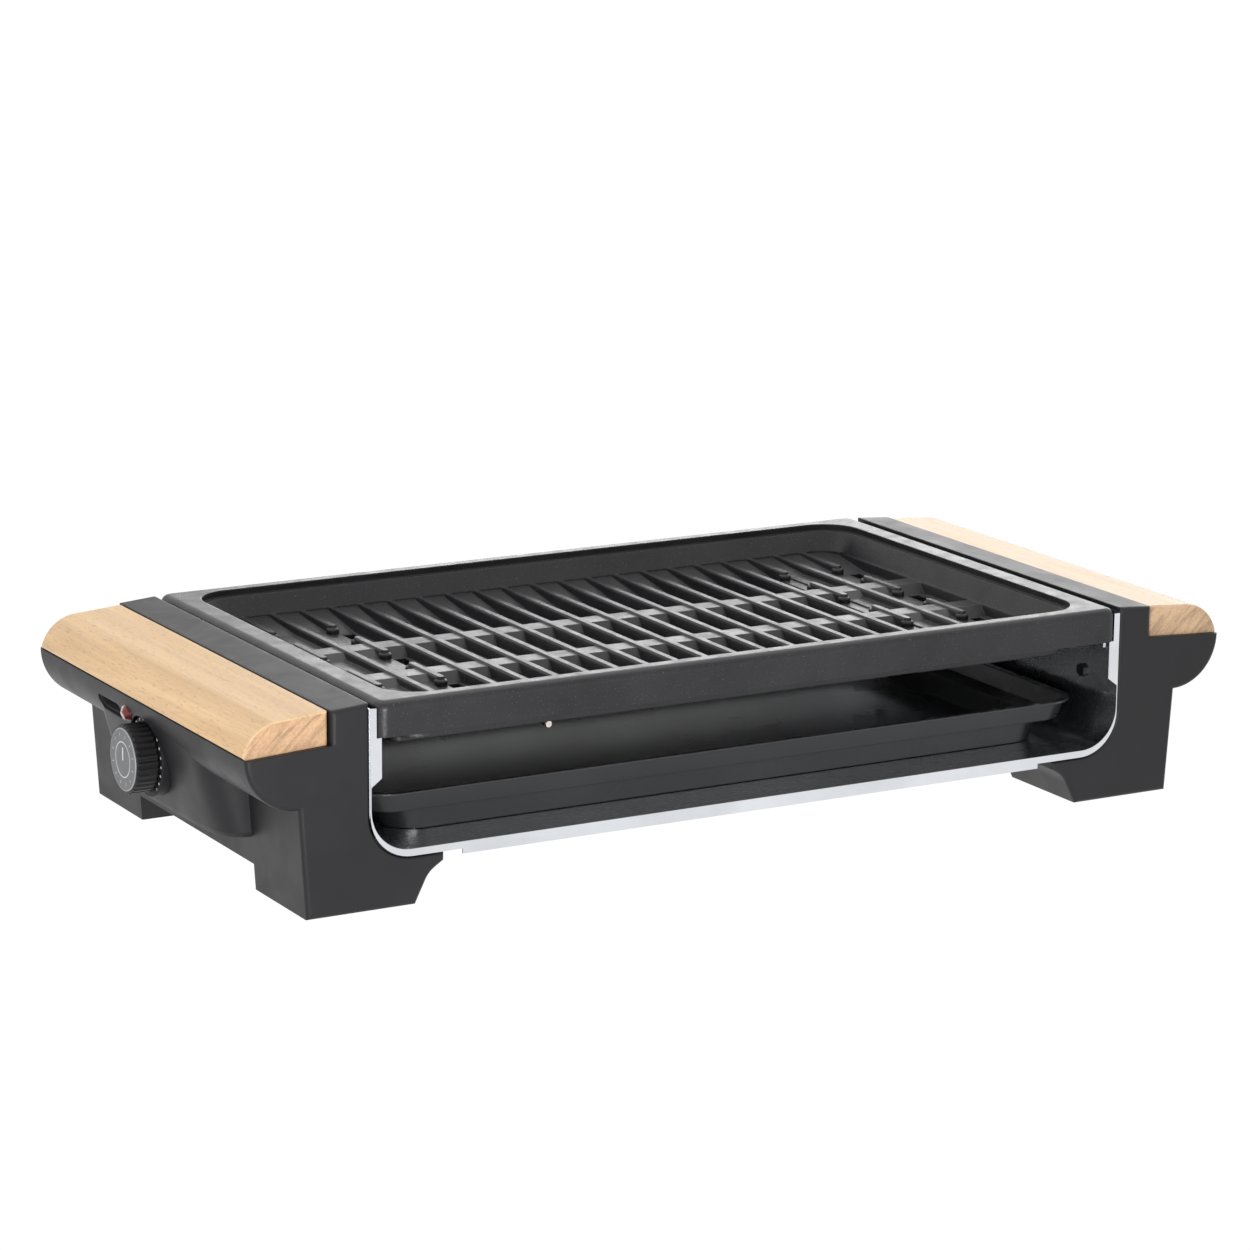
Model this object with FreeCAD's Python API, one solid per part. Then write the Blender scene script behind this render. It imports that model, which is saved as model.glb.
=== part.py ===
"""Tabletop electric grill: a lift-off cast plate over a tubular element and a slide-out drip tray.

Millimetres, +Z up, +X to the right, -Y to the front. The knob is on the left side.
Both sides are drawn once on the +X side, as "outboard" shapes, and mirrored for the left.
"""

import FreeCAD, Part
import math
import os

V = FreeCAD.Vector
X_AXIS = V(1, 0, 0)
Y_AXIS = V(0, 1, 0)
Z_AXIS = V(0, 0, 1)

# ---------------------------------------------------------------- general
SHEET = 0.8                     # steel sheet of pan, tray and rails
WALL = 2.6                      # moulded plastic wall
JOINT_GAP = 0.3                 # air between pieces that move apart
SHAFT_GAP = 0.1                 # radial play of the thermostat spindle
EASE = 0.6                      # small broken edge on moulded pieces
CUT = 1.0                       # how far a cutter runs past the surface it cuts
TOUCH = 1e-3                    # two heights closer than this are the same

# ---------------------------------------------------------------- grill plate
PLATE_LENGTH = 416.0
PLATE_WIDTH = 254.0
PLATE_TOP = 101.1               # rim above the table
PLATE_SKIRT = 17.1              # height of the rim's outer face
PLATE_CORNER = 6.0
PLATE_EDGE = 4.0                # round of the rim's top edge
PLATE_WALL = 3.5                # cast wall
RIM_LENGTHWISE = 13.3           # top width of the rim at the two ends
RIM_CROSSWISE = 9.3             # top width of the rim along the two long sides
BASIN_CORNER = 20.0
LEDGE_DEPTH = 3.6               # rim top down to the first step of the basin
LEDGE_WIDTH = 2.2
BASIN_TAPER = 4.5               # how far the basin wall leans in, each side
RIB_TOP_DEPTH = 13.6            # rim top down to the top of the ribs
RIB_PITCH = 16.8
RIB_TOP_WIDTH = 3.2
RIB_SHOULDER_WIDTH = 4.4        # at the level of the cross bridges
RIB_BASE_WIDTH = 6.5
CHANNEL_DEPTH = 6.0             # rib top down to the channel floor
CHANNEL_RAMP = 33.0             # length of the ramp at the end of a channel
BRIDGE_OFFSET = 29.0            # cross bridge from the middle of the plate
BRIDGE_WIDTH = 12.0             # flat top of a bridge
BRIDGE_DROP = 1.0               # bridge below the rib tops
BRIDGE_SLOPE = 5.5              # length of the slope at either side of a bridge
PLATE_FLOOR = 3.5               # thickness under the channels
SLOT_WIDTH = 6.5
SLOT_MARGIN = 1.0               # foot of a slope to the end of the slot
SLOT_OUTER_LENGTH = 33.0
SHALLOW_CHANNELS = 2            # channels without slots inside each wall channel
SHALLOW_DEPTH = 3.9
BREAK_DEPTH = 4.6               # gaps in the ribs that are made of short lengths
BREAK_MIDDLE_LENGTH = 30.0
BREAK_OUTER_START = 46.0        # from the middle of the plate
BREAK_OUTER_LENGTH = 29.0
RIB_END_SIDES = 8               # flats round the end of a short length
RING_END_SETBACK = 24.0         # wall under the plate, in from the plate's ends
RING_SIDE_SETBACK = 33.5
RING_WALL = 3.0
RING_DEPTH = 6.5
RING_END_GAP = 68.0
RING_SIDE_GAP = 18.5
RING_SIDE_GAP_SETBACK = 106.3   # from the plate's end to the middle of the gap

# ---------------------------------------------------------------- pan
PAN_END_GAP = 2.4               # plate end to the inner face of the pan
PAN_FLOOR = 27.7                # underside of the pan above the table
PAN_CORNER = 21.2
PLATE_OVERHANG = 3.0            # plate beyond the pan, front and back
PAN_SIDE_TOP = 98.0
FLANGE_LIP = 2.7                # flange below the pan floor
FLANGE_CORNER = 21.7
FLANGE_DROP = 2.5               # deeper middle stretch of the flange
FLANGE_DROP_SETBACK = 48.2      # where it starts, in from the pan's side
FLANGE_SIDE_WIDTH = 5.4         # wide stretch beside the opening
FLANGE_TOP_WIDTH = 3.6          # narrow stretch beside the plate
FLANGE_SIDE_LENGTH = 19.3       # height of the wide stretch
FLANGE_TAPER = 4.0
RAIL_WIDTH = 7.0
RAIL_HEIGHT = 6.0
RAIL_SETBACK = 11.0             # rail's end from the pan's front or back
PAN_SCREW_SETBACK = 29.0        # each screw from the pan's front or back
PAN_SCREW_HEIGHT = 62.0

# ---------------------------------------------------------------- housings
HOUSING_TOP = 100.7
TOP_STRIP = 19.2                # plastic strip between the pan and the handle
TOP_SLOPE = 0.077
HANDLE_SEAT = 80.6              # outer edge of the handle's seat
HANDLE_SEAT_WIDTH = 43.2
SEAT_SLOPE = 0.056
BULGE_RADIUS = 26.6             # quarter round under the handle
ROUND_WALL = 3.6                # wall at either end of the quarter round
LEG_FOOT_WIDTH = 32.2
FOOT_LENGTH = 57.2
APRON_BOTTOM = 13.7             # lower edge of the side between the feet
FOOT_REACH = 23.7               # foot inward from the pan's side
FOOT_CURVE = 14.0
FOOT_WAIST_REACH = 30.9
FOOT_WAIST_HEIGHT = 15.5
TOE_REACH = 38.7
TOE_TIP = 20.5
TOE_TOP = 24.4
TOE_CORNER = 22.3
HOUSING_ROUND = 2.2             # round of the front and back edges
BOSS_RADIUS = 4.5
COVER_SCREW_SETBACK = 17.6      # cover screw from the foot's inner face
COVER_SCREW_REACH = 15.0        # cover screw outboard of the pan
HANDLE_SCREW_SETBACK = 49.8     # handle screw from the front or back of the housing
HANDLE_SCREW_REACH = 38.0       # handle screw outboard of the pan
BOSS_DROP = 4.0                 # handle boss below the seat's underside
PAN_BOSS_LENGTH = 8.0

# ---------------------------------------------------------------- control pod, left side
POD_HALF_WIDTH = 67.5
POD_BOTTOM = 26.0
POD_TOP = 74.0
POD_FLAT_HALF = 46.0            # nearly straight middle of the pod's face
POD_SHOULDER_HALF = 66.0        # the curve of the face is drawn towards this corner
POD_FOOT_REACH = 49.6           # face at its lower edge, outboard of the pan
POD_FOOT_SHOULDER_REACH = 47.0
POD_HEAD_REACH = 61.3           # face at its upper edge
POD_HEAD_SHOULDER_REACH = 60.6
POD_BOW = 0.2                   # middle of the face beyond its straight part
POD_ROUND = 3.0

# ---------------------------------------------------------------- knob and thermostat
KNOB_AXIS_HEIGHT = 53.1
KNOB_FACE_REACH = 70.4          # knob's face outboard of the pan
KNOB_RADIUS = 17.0
KNOB_LENGTH = 11.4
KNOB_WALL = 2.2
KNOB_RIBS = 32
KNOB_RIB_HEIGHT = 0.7
KNOB_CHAMFER = 0.7
KNOB_HUB_RADIUS = 5.5
KNOB_CAP_RADIUS = 15.4
KNOB_CAP_THICKNESS = 1.2
KNOB_GAP = 0.5                  # knob to dial ring
DIAL_RADIUS = 19.7
DIAL_HEIGHT = 5.7
DIAL_WALL = 1.6
DIAL_BORE = 7.0
SEAT_PLAY = 0.5                 # dial ring to the edge of its round seat
BUSH_RADIUS = 4.8
BUSH_LENGTH = 5.8
BUSH_HOLE_PLAY = 0.2
NUT_FLATS = 13.0
NUT_THICKNESS = 2.4
SPINDLE_RADIUS = 3.0
SPINDLE_DEPTH = 6.0             # into the thermostat's box
THERMOSTAT_WIDTH = 28.0
THERMOSTAT_HEIGHT = 20.0
THERMOSTAT_DEPTH = 20.0
TAB_LENGTH = 8.0
TAB_WIDTH = 6.3

# ---------------------------------------------------------------- lamp and cord outlet
LAMP_ANGLE = 21.0               # below the horizontal, round the quarter round
LAMP_OFFSET = 16.5              # behind the knob's axis
LAMP_RADIUS = 4.2
LAMP_DOME = 2.6
LAMP_BODY_RADIUS = 3.0
LAMP_BODY_LENGTH = 12.0
OUTLET_ANGLE = 24.0
OUTLET_OFFSET = 38.5            # middle of the oval outlet behind the knob's axis
OUTLET_LENGTH = 28.0
OUTLET_HEIGHT = 8.0
OUTLET_REACH = 6.0              # how far its cutter stands out of the quarter round
GLAND_WALL = 1.4
GLAND_LENGTH = 8.0
GLAND_RECESS = 1.0              # sleeve's outer end below the surface
GLAND_COLLAR = 1.5

# ---------------------------------------------------------------- wooden handles
HANDLE_GAP = 0.7                # wood to the plastic strip
HANDLE_SETBACK = 2.8            # wood's end from the housing's end
HANDLE_INNER_HEIGHT = 15.9
HANDLE_FLAT = 23.0              # flat top before the round
HANDLE_BROW_REACH = 36.8
HANDLE_BROW_HEIGHT = 10.6
HANDLE_EDGE_HEIGHT = 2.4
HANDLE_ROUND = 1.6
HANDLE_CHAMFER = 0.8            # shadow line between the wood and its seat

# ---------------------------------------------------------------- drip tray
TRAY_SIDE_GAP = 9.4             # pan's side to the tray's rim
TRAY_FRONT_SETBACK = 20.0       # pan's front to the tray's rim
TRAY_BACK_SETBACK = 14.0
TRAY_HEIGHT = 21.2
TRAY_BAND = 10.2                # height of the upper band
TRAY_BAND_TAPER = 2.5
TRAY_LEDGE_END = 12.5
TRAY_LEDGE_SIDE = 3.0
TRAY_BOTTOM_TAPER = 2.0
TRAY_CORNER = 16.0
TRAY_LIP = 2.0
TRAY_LIP_THICKNESS = 1.2

# ---------------------------------------------------------------- heating element and sensor
ELEMENT_RADIUS = 3.3
ELEMENT_SIDES = 12              # flats round the tube
ELEMENT_PITCH = 23.0            # half the spacing of neighbouring runs
ELEMENT_INNER_RUN = 24.0
TERMINAL_SPACING = 20.0
TERMINAL_REACH = 10.8           # cold end outboard of the pan
ELEMENT_FAR_SETBACK = 35.0      # from the plate's end to the far U-turns
ELEMENT_NEAR_SETBACK = 74.0
SPREAD_START_SETBACK = 42.0
SPREAD_END_SETBACK = 72.0
ELEMENT_SPREAD_ROUND = 18.0
ELEMENT_WIDE_ROUND = 22.0
BRACKET_WIDTH = 56.0
BRACKET_HEIGHT = 18.0
BRACKET_ARM = 14.0
BRACKET_DROP = 10.0
HOLE_PLAY = 0.9
SENSOR_RADIUS = 1.6
SENSOR_LENGTH = 40.5
SENSOR_END_SETBACK = 109.1      # bulb from the plate's left end
SENSOR_TIP_SETBACK = 36.5       # bulb's tip from the plate's front
CAPILLARY_RADIUS = 0.8
CAPILLARY_ROUND = 9.0
CAPILLARY_EXIT = 30.0

# ---------------------------------------------------------------- fasteners, feet, wiring
SCREW_RADIUS = 1.9
SCREW_HEAD_FLATS = 6.0          # across the hexagon
SCREW_HEAD_THICKNESS = 1.8
SCREW_LENGTH = 9.0
COVER_SCREW_LENGTH = 12.0
FOOT_PAD_RADIUS = 8.0
FOOT_PAD_THICKNESS = 2.6
FOOT_PAD_SHOW = 1.0             # rubber standing out of the foot
FOOT_PAD_REACH = 9.0
FOOT_PAD_SETBACK = 28.8         # from the front or back of the housing
BLOCK_LENGTH = 26.0
BLOCK_WIDTH = 14.0
BLOCK_HEIGHT = 16.0
BLOCK_SETBACK = 36.8            # from the back of the housing
BLOCK_FLOOR = 30.0
BLOCK_POLES = 3
FUSE_RADIUS = 2.0
FUSE_LENGTH = 24.0
FUSE_OFFSET = 32.0
FUSE_HEIGHT = 60.0
WIRE_RADIUS = 1.2
TUBE_SIDES = 6                  # flats round a wire or the sensor's thin tube
WIRE_ROUND = 4.0
WIRE_STAND_OFF = 5.0

# ---------------------------------------------------------------- worked out from the sizes above
PLATE_END = PLATE_LENGTH / 2
PLATE_FRONT = PLATE_WIDTH / 2
PAN_INNER = PLATE_END + PAN_END_GAP
PAN_HALF = PLATE_FRONT - PLATE_OVERHANG
SIDE = PAN_INNER + SHEET                      # outer face of the pan = inner face of a housing
NOTCH = SIDE + TOP_STRIP
OUTER = NOTCH + HANDLE_SEAT_WIDTH
LEG_OUTER_TOP = OUTER - BULGE_RADIUS
LEG_TOP = HANDLE_SEAT - BULGE_RADIUS          # where the quarter round meets the leg
LEG_OUTER_FOOT = SIDE + LEG_FOOT_WIDTH
HALF_DEPTH = PAN_HALF + SHEET
FOOT_INNER_Y = HALF_DEPTH - FOOT_LENGTH
SEAT_INNER = HANDLE_SEAT + SEAT_SLOPE * HANDLE_SEAT_WIDTH
PLATE_BOTTOM = PLATE_TOP - PLATE_SKIRT
RIB_TOP = PLATE_TOP - RIB_TOP_DEPTH
BASIN_INSET = LEDGE_WIDTH + BASIN_TAPER
BASIN_END = PLATE_END - RIM_LENGTHWISE - BASIN_INSET
BASIN_FRONT = PLATE_FRONT - RIM_CROSSWISE - BASIN_INSET
LAST_RIB = int(BASIN_END / RIB_PITCH) - 1     # ribs each side of the middle one
BROKEN_RIBS = (LAST_RIB - 2, LAST_RIB)        # ribs, counted from the middle, that have gaps
CHANNEL_FLOOR = RIB_TOP - CHANNEL_DEPTH
PLATE_UNDERSIDE = CHANNEL_FLOOR - PLATE_FLOOR
RAIL_TOP = PLATE_BOTTOM - JOINT_GAP
FLOOR_TOP = PAN_FLOOR + SHEET
KNOB_FACE = SIDE + KNOB_FACE_REACH
KNOB_BACK = KNOB_FACE - KNOB_LENGTH
DIAL_FRONT = KNOB_BACK - KNOB_GAP
DIAL_SEAT = DIAL_FRONT - DIAL_HEIGHT
SEAT_RADIUS = DIAL_RADIUS + SEAT_PLAY
ELEMENT_HEIGHT = PLATE_UNDERSIDE - JOINT_GAP - ELEMENT_RADIUS
ELEMENT_FAR_END = PLATE_END - ELEMENT_FAR_SETBACK
SENSOR_HEIGHT = ELEMENT_HEIGHT - ELEMENT_RADIUS - SENSOR_RADIUS
BULGE_CENTRE = V(LEG_OUTER_TOP, 0, HANDLE_SEAT)
FRAME_SHIFT = (KNOB_FACE - OUTER) / 2         # puts the origin under the middle of the whole grill


# ---------------------------------------------------------------- drawing helpers
def box(x0, x1, y0, y1, z0, z1):
    return Part.makeBox(x1 - x0, y1 - y0, z1 - z0, V(x0, y0, z0))


def rod(radius, start, end):
    return Part.makeCylinder(radius, (end - start).Length, start, end - start)


def corner_arc(before, here, after, radius):
    """Start, middle and end of the arc that rounds the corner at here."""
    back = (before - here).normalize()
    ahead = (after - here).normalize()
    half = back.getAngle(ahead) / 2
    reach = radius / math.tan(half)
    inward = (back + ahead).normalize()
    middle = here + inward * (radius / math.sin(half) - radius)
    return here + back * reach, middle, here + ahead * reach


def rounded_path(corners, closed):
    """Wire through corners (point, radius), with a tangent arc wherever the radius isn't 0."""
    stations = []
    count = len(corners)
    for index, (point, radius) in enumerate(corners):
        at_end = not closed and index in (0, count - 1)
        if radius == 0 or at_end:
            stations.append((point, None, point))
        else:
            before = corners[index - 1][0]
            after = corners[(index + 1) % count][0]
            stations.append(corner_arc(before, point, after, radius))
    edges = []
    for index, (start, middle, end) in enumerate(stations):
        previous_end = stations[index - 1][2]
        joins = closed or index > 0
        if joins and (start - previous_end).Length > 1e-4:
            edges.append(Part.LineSegment(previous_end, start).toShape())
        if middle is not None:
            edges.append(Part.Arc(start, middle, end).toShape())
    return Part.Wire(edges)


def on_front(x, z):
    return V(x, 0, z)


def on_plan(x, y):
    return V(x, y, 0)


def outline(corners, plane):
    """Closed rounded wire from corners (a, b, radius) in the front or the plan plane."""
    return rounded_path([(plane(a, b), radius) for a, b, radius in corners], True)


def extrude_across(wire, y0, y1):
    face = Part.Face(wire)
    face.translate(V(0, y0, 0))
    return face.extrude(V(0, y1 - y0, 0))


def rounded_rectangle(half_x, y0, y1, radius, z):
    corners = [(-half_x, y0, radius), (half_x, y0, radius), (half_x, y1, radius), (-half_x, y1, radius)]
    wire = outline(corners, on_plan)
    wire.translate(V(0, 0, z))
    return wire


def rounded_block(half_x, y0, y1, radius, z0, z1):
    return Part.Face(rounded_rectangle(half_x, y0, y1, radius, z0)).extrude(V(0, 0, z1 - z0))


def tapered_block(lower, upper):
    return Part.makeLoft([lower, upper], True, True)


def flat_sided_block(low, high, z0, z1):
    """Block between two rectangles (x0, x1, y0, y1), the first at z0 and the second at z1."""
    block = Part.makeWedge(low[0], z0, -low[3], -high[3], high[0], low[1], z1, -low[2], -high[2], high[1])
    block.rotate(V(0, 0, 0), X_AXIS, 90)
    return block


def polygon(centre, direction, radius, sides):
    """Regular polygon square to a direction, with one corner straight above or behind its centre."""
    level = direction.cross(Z_AXIS).Length > TOUCH
    spoke = (Z_AXIS if level else Y_AXIS) * radius
    corners = [centre + FreeCAD.Rotation(direction, 360.0 * turn / sides).multVec(spoke) for turn in range(sides)]
    return Part.makePolygon(corners + corners[:1])


def hexagon_bar(flats, start, end):
    face = Part.Face(polygon(start, end - start, flats / math.sqrt(3), 6))
    return face.extrude(end - start)


def sweep_tube(corners, radius, sides):
    """Bar with flat sides along a path of straight runs and tangent arcs."""
    path = rounded_path(corners, False)
    start = corners[0][0]
    section = polygon(start, corners[1][0] - start, radius, sides)
    return path.makePipeShell([section], True, False)


def to_left(shape):
    return shape.mirror(V(0, 0, 0), X_AXIS)


def front_and_back(shape):
    return [shape, shape.mirror(V(0, 0, 0), Y_AXIS)]


def joined(shapes):
    result = shapes[0].fuse(shapes[1:])
    return result.removeSplitter()


def screw(seat, direction, length):
    """Hexagon-headed screw: the head sits on seat, and the shank runs along direction."""
    head = hexagon_bar(SCREW_HEAD_FLATS, seat - direction * SCREW_HEAD_THICKNESS, seat)
    return joined([head, rod(SCREW_RADIUS, seat, seat + direction * length)])


def screw_hole(seat, direction, length):
    return rod(SCREW_RADIUS, seat - direction * CUT, seat + direction * length)


def on_bulge(angle_down, y, outward):
    """Point at a distance outward from the quarter round, angle_down degrees below level."""
    angle = math.radians(angle_down)
    reach = BULGE_RADIUS + outward
    return BULGE_CENTRE + V(reach * math.cos(angle), y, -reach * math.sin(angle))


# ---------------------------------------------------------------- housings
def leg_face(z):
    """Outboard face of the leg at a height."""
    return LEG_OUTER_FOOT + (LEG_OUTER_TOP - LEG_OUTER_FOOT) * z / LEG_TOP


def upper_corners(inset, round_inset):
    """Top, handle seat, quarter round and head of the leg; the insets move them inward for the hollow."""
    shelf = LEG_TOP + round_inset
    brow = OUTER - round_inset
    return [
        (SIDE + inset, HOUSING_TOP - inset, 0),
        (NOTCH - inset, HOUSING_TOP - TOP_SLOPE * TOP_STRIP - inset, 0),
        (NOTCH - inset, SEAT_INNER - inset, 0),
        (brow, HANDLE_SEAT - inset, 0),
        (brow, shelf, BULGE_RADIUS - inset - round_inset),
        (leg_face(LEG_TOP) - inset, shelf, 0),
    ]


def apron_outline(inset, round_inset):
    """Section of a housing between its feet, which is also the section of the hollow."""
    low = APRON_BOTTOM + inset
    corners = upper_corners(inset, round_inset)
    corners += [(leg_face(APRON_BOTTOM) - inset, low, 0), (SIDE + inset, low, 0)]
    return outline(corners, on_front)


def foot_outline():
    """Section of a housing through a foot, with the toe that reaches under the pan."""
    corners = upper_corners(0, 0)
    corners += [
        (leg_face(FOOT_PAD_SHOW), FOOT_PAD_SHOW, 0),
        (SIDE - FOOT_REACH, FOOT_PAD_SHOW, 0),
        (SIDE - FOOT_WAIST_REACH, FOOT_WAIST_HEIGHT, FOOT_CURVE),
        (SIDE - TOE_REACH, TOE_TIP, 0),
        (SIDE - TOE_REACH, TOE_TOP, 0),
        (SIDE, TOE_TOP, TOE_CORNER),
    ]
    return outline(corners, on_front)


def housing_end():
    """Front stretch of a housing, over one foot, with the edges of its end face rounded."""
    block = extrude_across(foot_outline(), -HALF_DEPTH, -FOOT_INNER_Y)
    seat_middle = (SEAT_INNER + HANDLE_SEAT) / 2
    edges = []
    for edge in block.Edges:
        centre = edge.CenterOfMass
        if abs(centre.y + HALF_DEPTH) < TOUCH and abs(centre.z - seat_middle) > TOUCH:
            edges.append(edge)
    return block.makeFillet(HOUSING_ROUND, edges)


def housing_body():
    middle = extrude_across(apron_outline(0, 0), -FOOT_INNER_Y, FOOT_INNER_Y)
    return joined([middle] + front_and_back(housing_end()))


def housing_hollow():
    inner_depth = HALF_DEPTH - WALL
    upper = extrude_across(apron_outline(WALL, ROUND_WALL), -inner_depth, inner_depth)
    pocket = box(SIDE + WALL, leg_face(FOOT_PAD_SHOW) - WALL, FOOT_INNER_Y + WALL, inner_depth,
                 FOOT_PAD_SHOW + WALL + FOOT_PAD_THICKNESS, APRON_BOTTOM + 2 * WALL)
    mouth = box(SIDE + WALL, leg_face(APRON_BOTTOM) - WALL, -FOOT_INNER_Y, FOOT_INNER_Y,
                APRON_BOTTOM - CUT, APRON_BOTTOM + 2 * WALL)
    return joined([upper, mouth] + front_and_back(pocket))


def cover_screw_points():
    x = SIDE + COVER_SCREW_REACH
    y = FOOT_INNER_Y - COVER_SCREW_SETBACK
    return [V(x, side * y, APRON_BOTTOM) for side in (-1, 1)]


def handle_boss_bottom():
    return HANDLE_SEAT - WALL - BOSS_DROP


def handle_screw_points():
    x = SIDE + HANDLE_SCREW_REACH
    y = HALF_DEPTH - HANDLE_SCREW_SETBACK
    return [V(x, side * y, handle_boss_bottom()) for side in (-1, 1)]


def pan_screw_points():
    y = PAN_HALF - PAN_SCREW_SETBACK
    return [V(PAN_INNER, side * y, PAN_SCREW_HEIGHT) for side in (-1, 1)]


def foot_pad_points():
    x = SIDE + FOOT_PAD_REACH
    y = HALF_DEPTH - FOOT_PAD_SETBACK
    return [V(x, side * y, 0) for side in (-1, 1)]


def housing_bosses():
    """Screw bosses: tall ones for the base cover, short ones for the handle and the pan."""
    bosses = []
    for point in cover_screw_points():
        bosses.append(rod(BOSS_RADIUS, point + Z_AXIS * WALL, V(point.x, point.y, HANDLE_SEAT)))
    for point in handle_screw_points():
        bosses.append(rod(BOSS_RADIUS, point, V(point.x, point.y, HANDLE_SEAT - EASE)))
    for point in pan_screw_points():
        wall_face = V(SIDE + EASE, point.y, point.z)
        bosses.append(rod(BOSS_RADIUS, wall_face, wall_face + X_AXIS * (WALL - EASE + PAN_BOSS_LENGTH)))
    return bosses


def housing_holes():
    holes = [screw_hole(point, Z_AXIS, WALL + COVER_SCREW_LENGTH) for point in cover_screw_points()]
    for point in handle_screw_points():
        holes.append(screw_hole(point, Z_AXIS, HANDLE_SEAT - handle_boss_bottom() + WALL))
    for point in pan_screw_points():
        holes.append(screw_hole(point, X_AXIS, SCREW_LENGTH))
    for point in foot_pad_points():
        holes.append(rod(FOOT_PAD_RADIUS, point - Z_AXIS * CUT, point + Z_AXIS * FOOT_PAD_THICKNESS))
    return holes


def right_housing():
    shell = housing_body().cut(housing_hollow())
    return joined([shell] + housing_bosses()).cut(housing_holes())


# ---------------------------------------------------------------- control pod
def pod_section(z, reach, shoulder_reach, inset):
    """Plan outline of the pod at a height: one smooth curve from leg to leg, closed behind."""
    half = POD_HALF_WIDTH - inset
    root = SIDE + WALL + CUT
    stations = [
        (leg_face(z) - SIDE, POD_HALF_WIDTH),
        (shoulder_reach, POD_SHOULDER_HALF),
        (reach, POD_FLAT_HALF),
        (reach + POD_BOW, inset),
    ]
    front = [V(SIDE + out - inset, inset - y, z) for out, y in stations]
    back = [V(point.x, -point.y, z) for point in reversed(front[:-1])]
    curve = Part.BSplineCurve()
    curve.buildFromPoles(front + back)
    corners = [V(front[0].x, half, z), V(root, half, z), V(root, -half, z), V(front[0].x, -half, z)]
    sides = [Part.LineSegment(start, end).toShape() for start, end in zip(corners, corners[1:])]
    return Part.Wire([curve.toShape()] + sides)


def pod_lower_section(rise, inset):
    return pod_section(POD_BOTTOM + rise, POD_FOOT_REACH, POD_FOOT_SHOULDER_REACH, inset)


def pod_upper_section(inset):
    return pod_section(POD_TOP, POD_HEAD_REACH, POD_HEAD_SHOULDER_REACH, inset)


def pod_outside():
    """Pod that leans outward to the top, with its lower edge rounded in two steps."""
    sections = []
    for turn in (0, math.pi / 4, math.pi / 2):
        inset = POD_ROUND * (1 - math.sin(turn))
        rise = POD_ROUND * (1 - math.cos(turn))
        sections.append(pod_lower_section(rise, inset))
    return Part.makeLoft(sections + [pod_upper_section(0)], True, True)


def pod_inside():
    return tapered_block(pod_lower_section(WALL, WALL), pod_upper_section(WALL))


def knob_point(x):
    return V(x, 0, KNOB_AXIS_HEIGHT)


def knob_rod(radius, x0, x1):
    return rod(radius, knob_point(x0), knob_point(x1))


def left_housing():
    """Mirror image of the right housing, with the control pod, its seats and holes added."""
    shell = housing_body()
    seat_wall = knob_rod(SEAT_RADIUS + WALL, DIAL_SEAT - WALL, KNOB_FACE)
    hollows = [housing_hollow().cut(seat_wall), pod_inside().cut(seat_wall)]
    shell = joined([shell, pod_outside()]).cut(hollows)
    shell = joined([shell] + housing_bosses()).cut(housing_holes())
    cutters = [
        knob_rod(SEAT_RADIUS, DIAL_SEAT, KNOB_FACE),
        knob_rod(BUSH_RADIUS + BUSH_HOLE_PLAY, DIAL_SEAT - WALL - CUT, KNOB_FACE),
        rod(LAMP_BODY_RADIUS, on_bulge(LAMP_ANGLE, LAMP_OFFSET, -LAMP_BODY_LENGTH),
            on_bulge(LAMP_ANGLE, LAMP_OFFSET, CUT)),
        outlet_bar(0, -GLAND_LENGTH, OUTLET_REACH),
        capillary_hole(),
    ]
    cutters += [terminal_hole(side) for side in (-1, 1)]
    return to_left(shell.cut(cutters))


def base_cover():
    """Flat plate that closes a housing between its feet."""
    x0 = SIDE + WALL + JOINT_GAP
    x1 = leg_face(APRON_BOTTOM) - WALL - JOINT_GAP
    y1 = FOOT_INNER_Y - JOINT_GAP
    plate = box(x0, x1, -y1, y1, APRON_BOTTOM, APRON_BOTTOM + WALL)
    return plate.cut([screw_hole(point, Z_AXIS, WALL + CUT) for point in cover_screw_points()])


def cover_screws():
    screws = [screw(point, Z_AXIS, COVER_SCREW_LENGTH) for point in cover_screw_points()]
    return Part.makeCompound(screws + [to_left(one) for one in screws])


def foot_pads():
    pads = [rod(FOOT_PAD_RADIUS, point, point + Z_AXIS * FOOT_PAD_THICKNESS) for point in foot_pad_points()]
    return Part.makeCompound(pads + [to_left(pad) for pad in pads])


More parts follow.
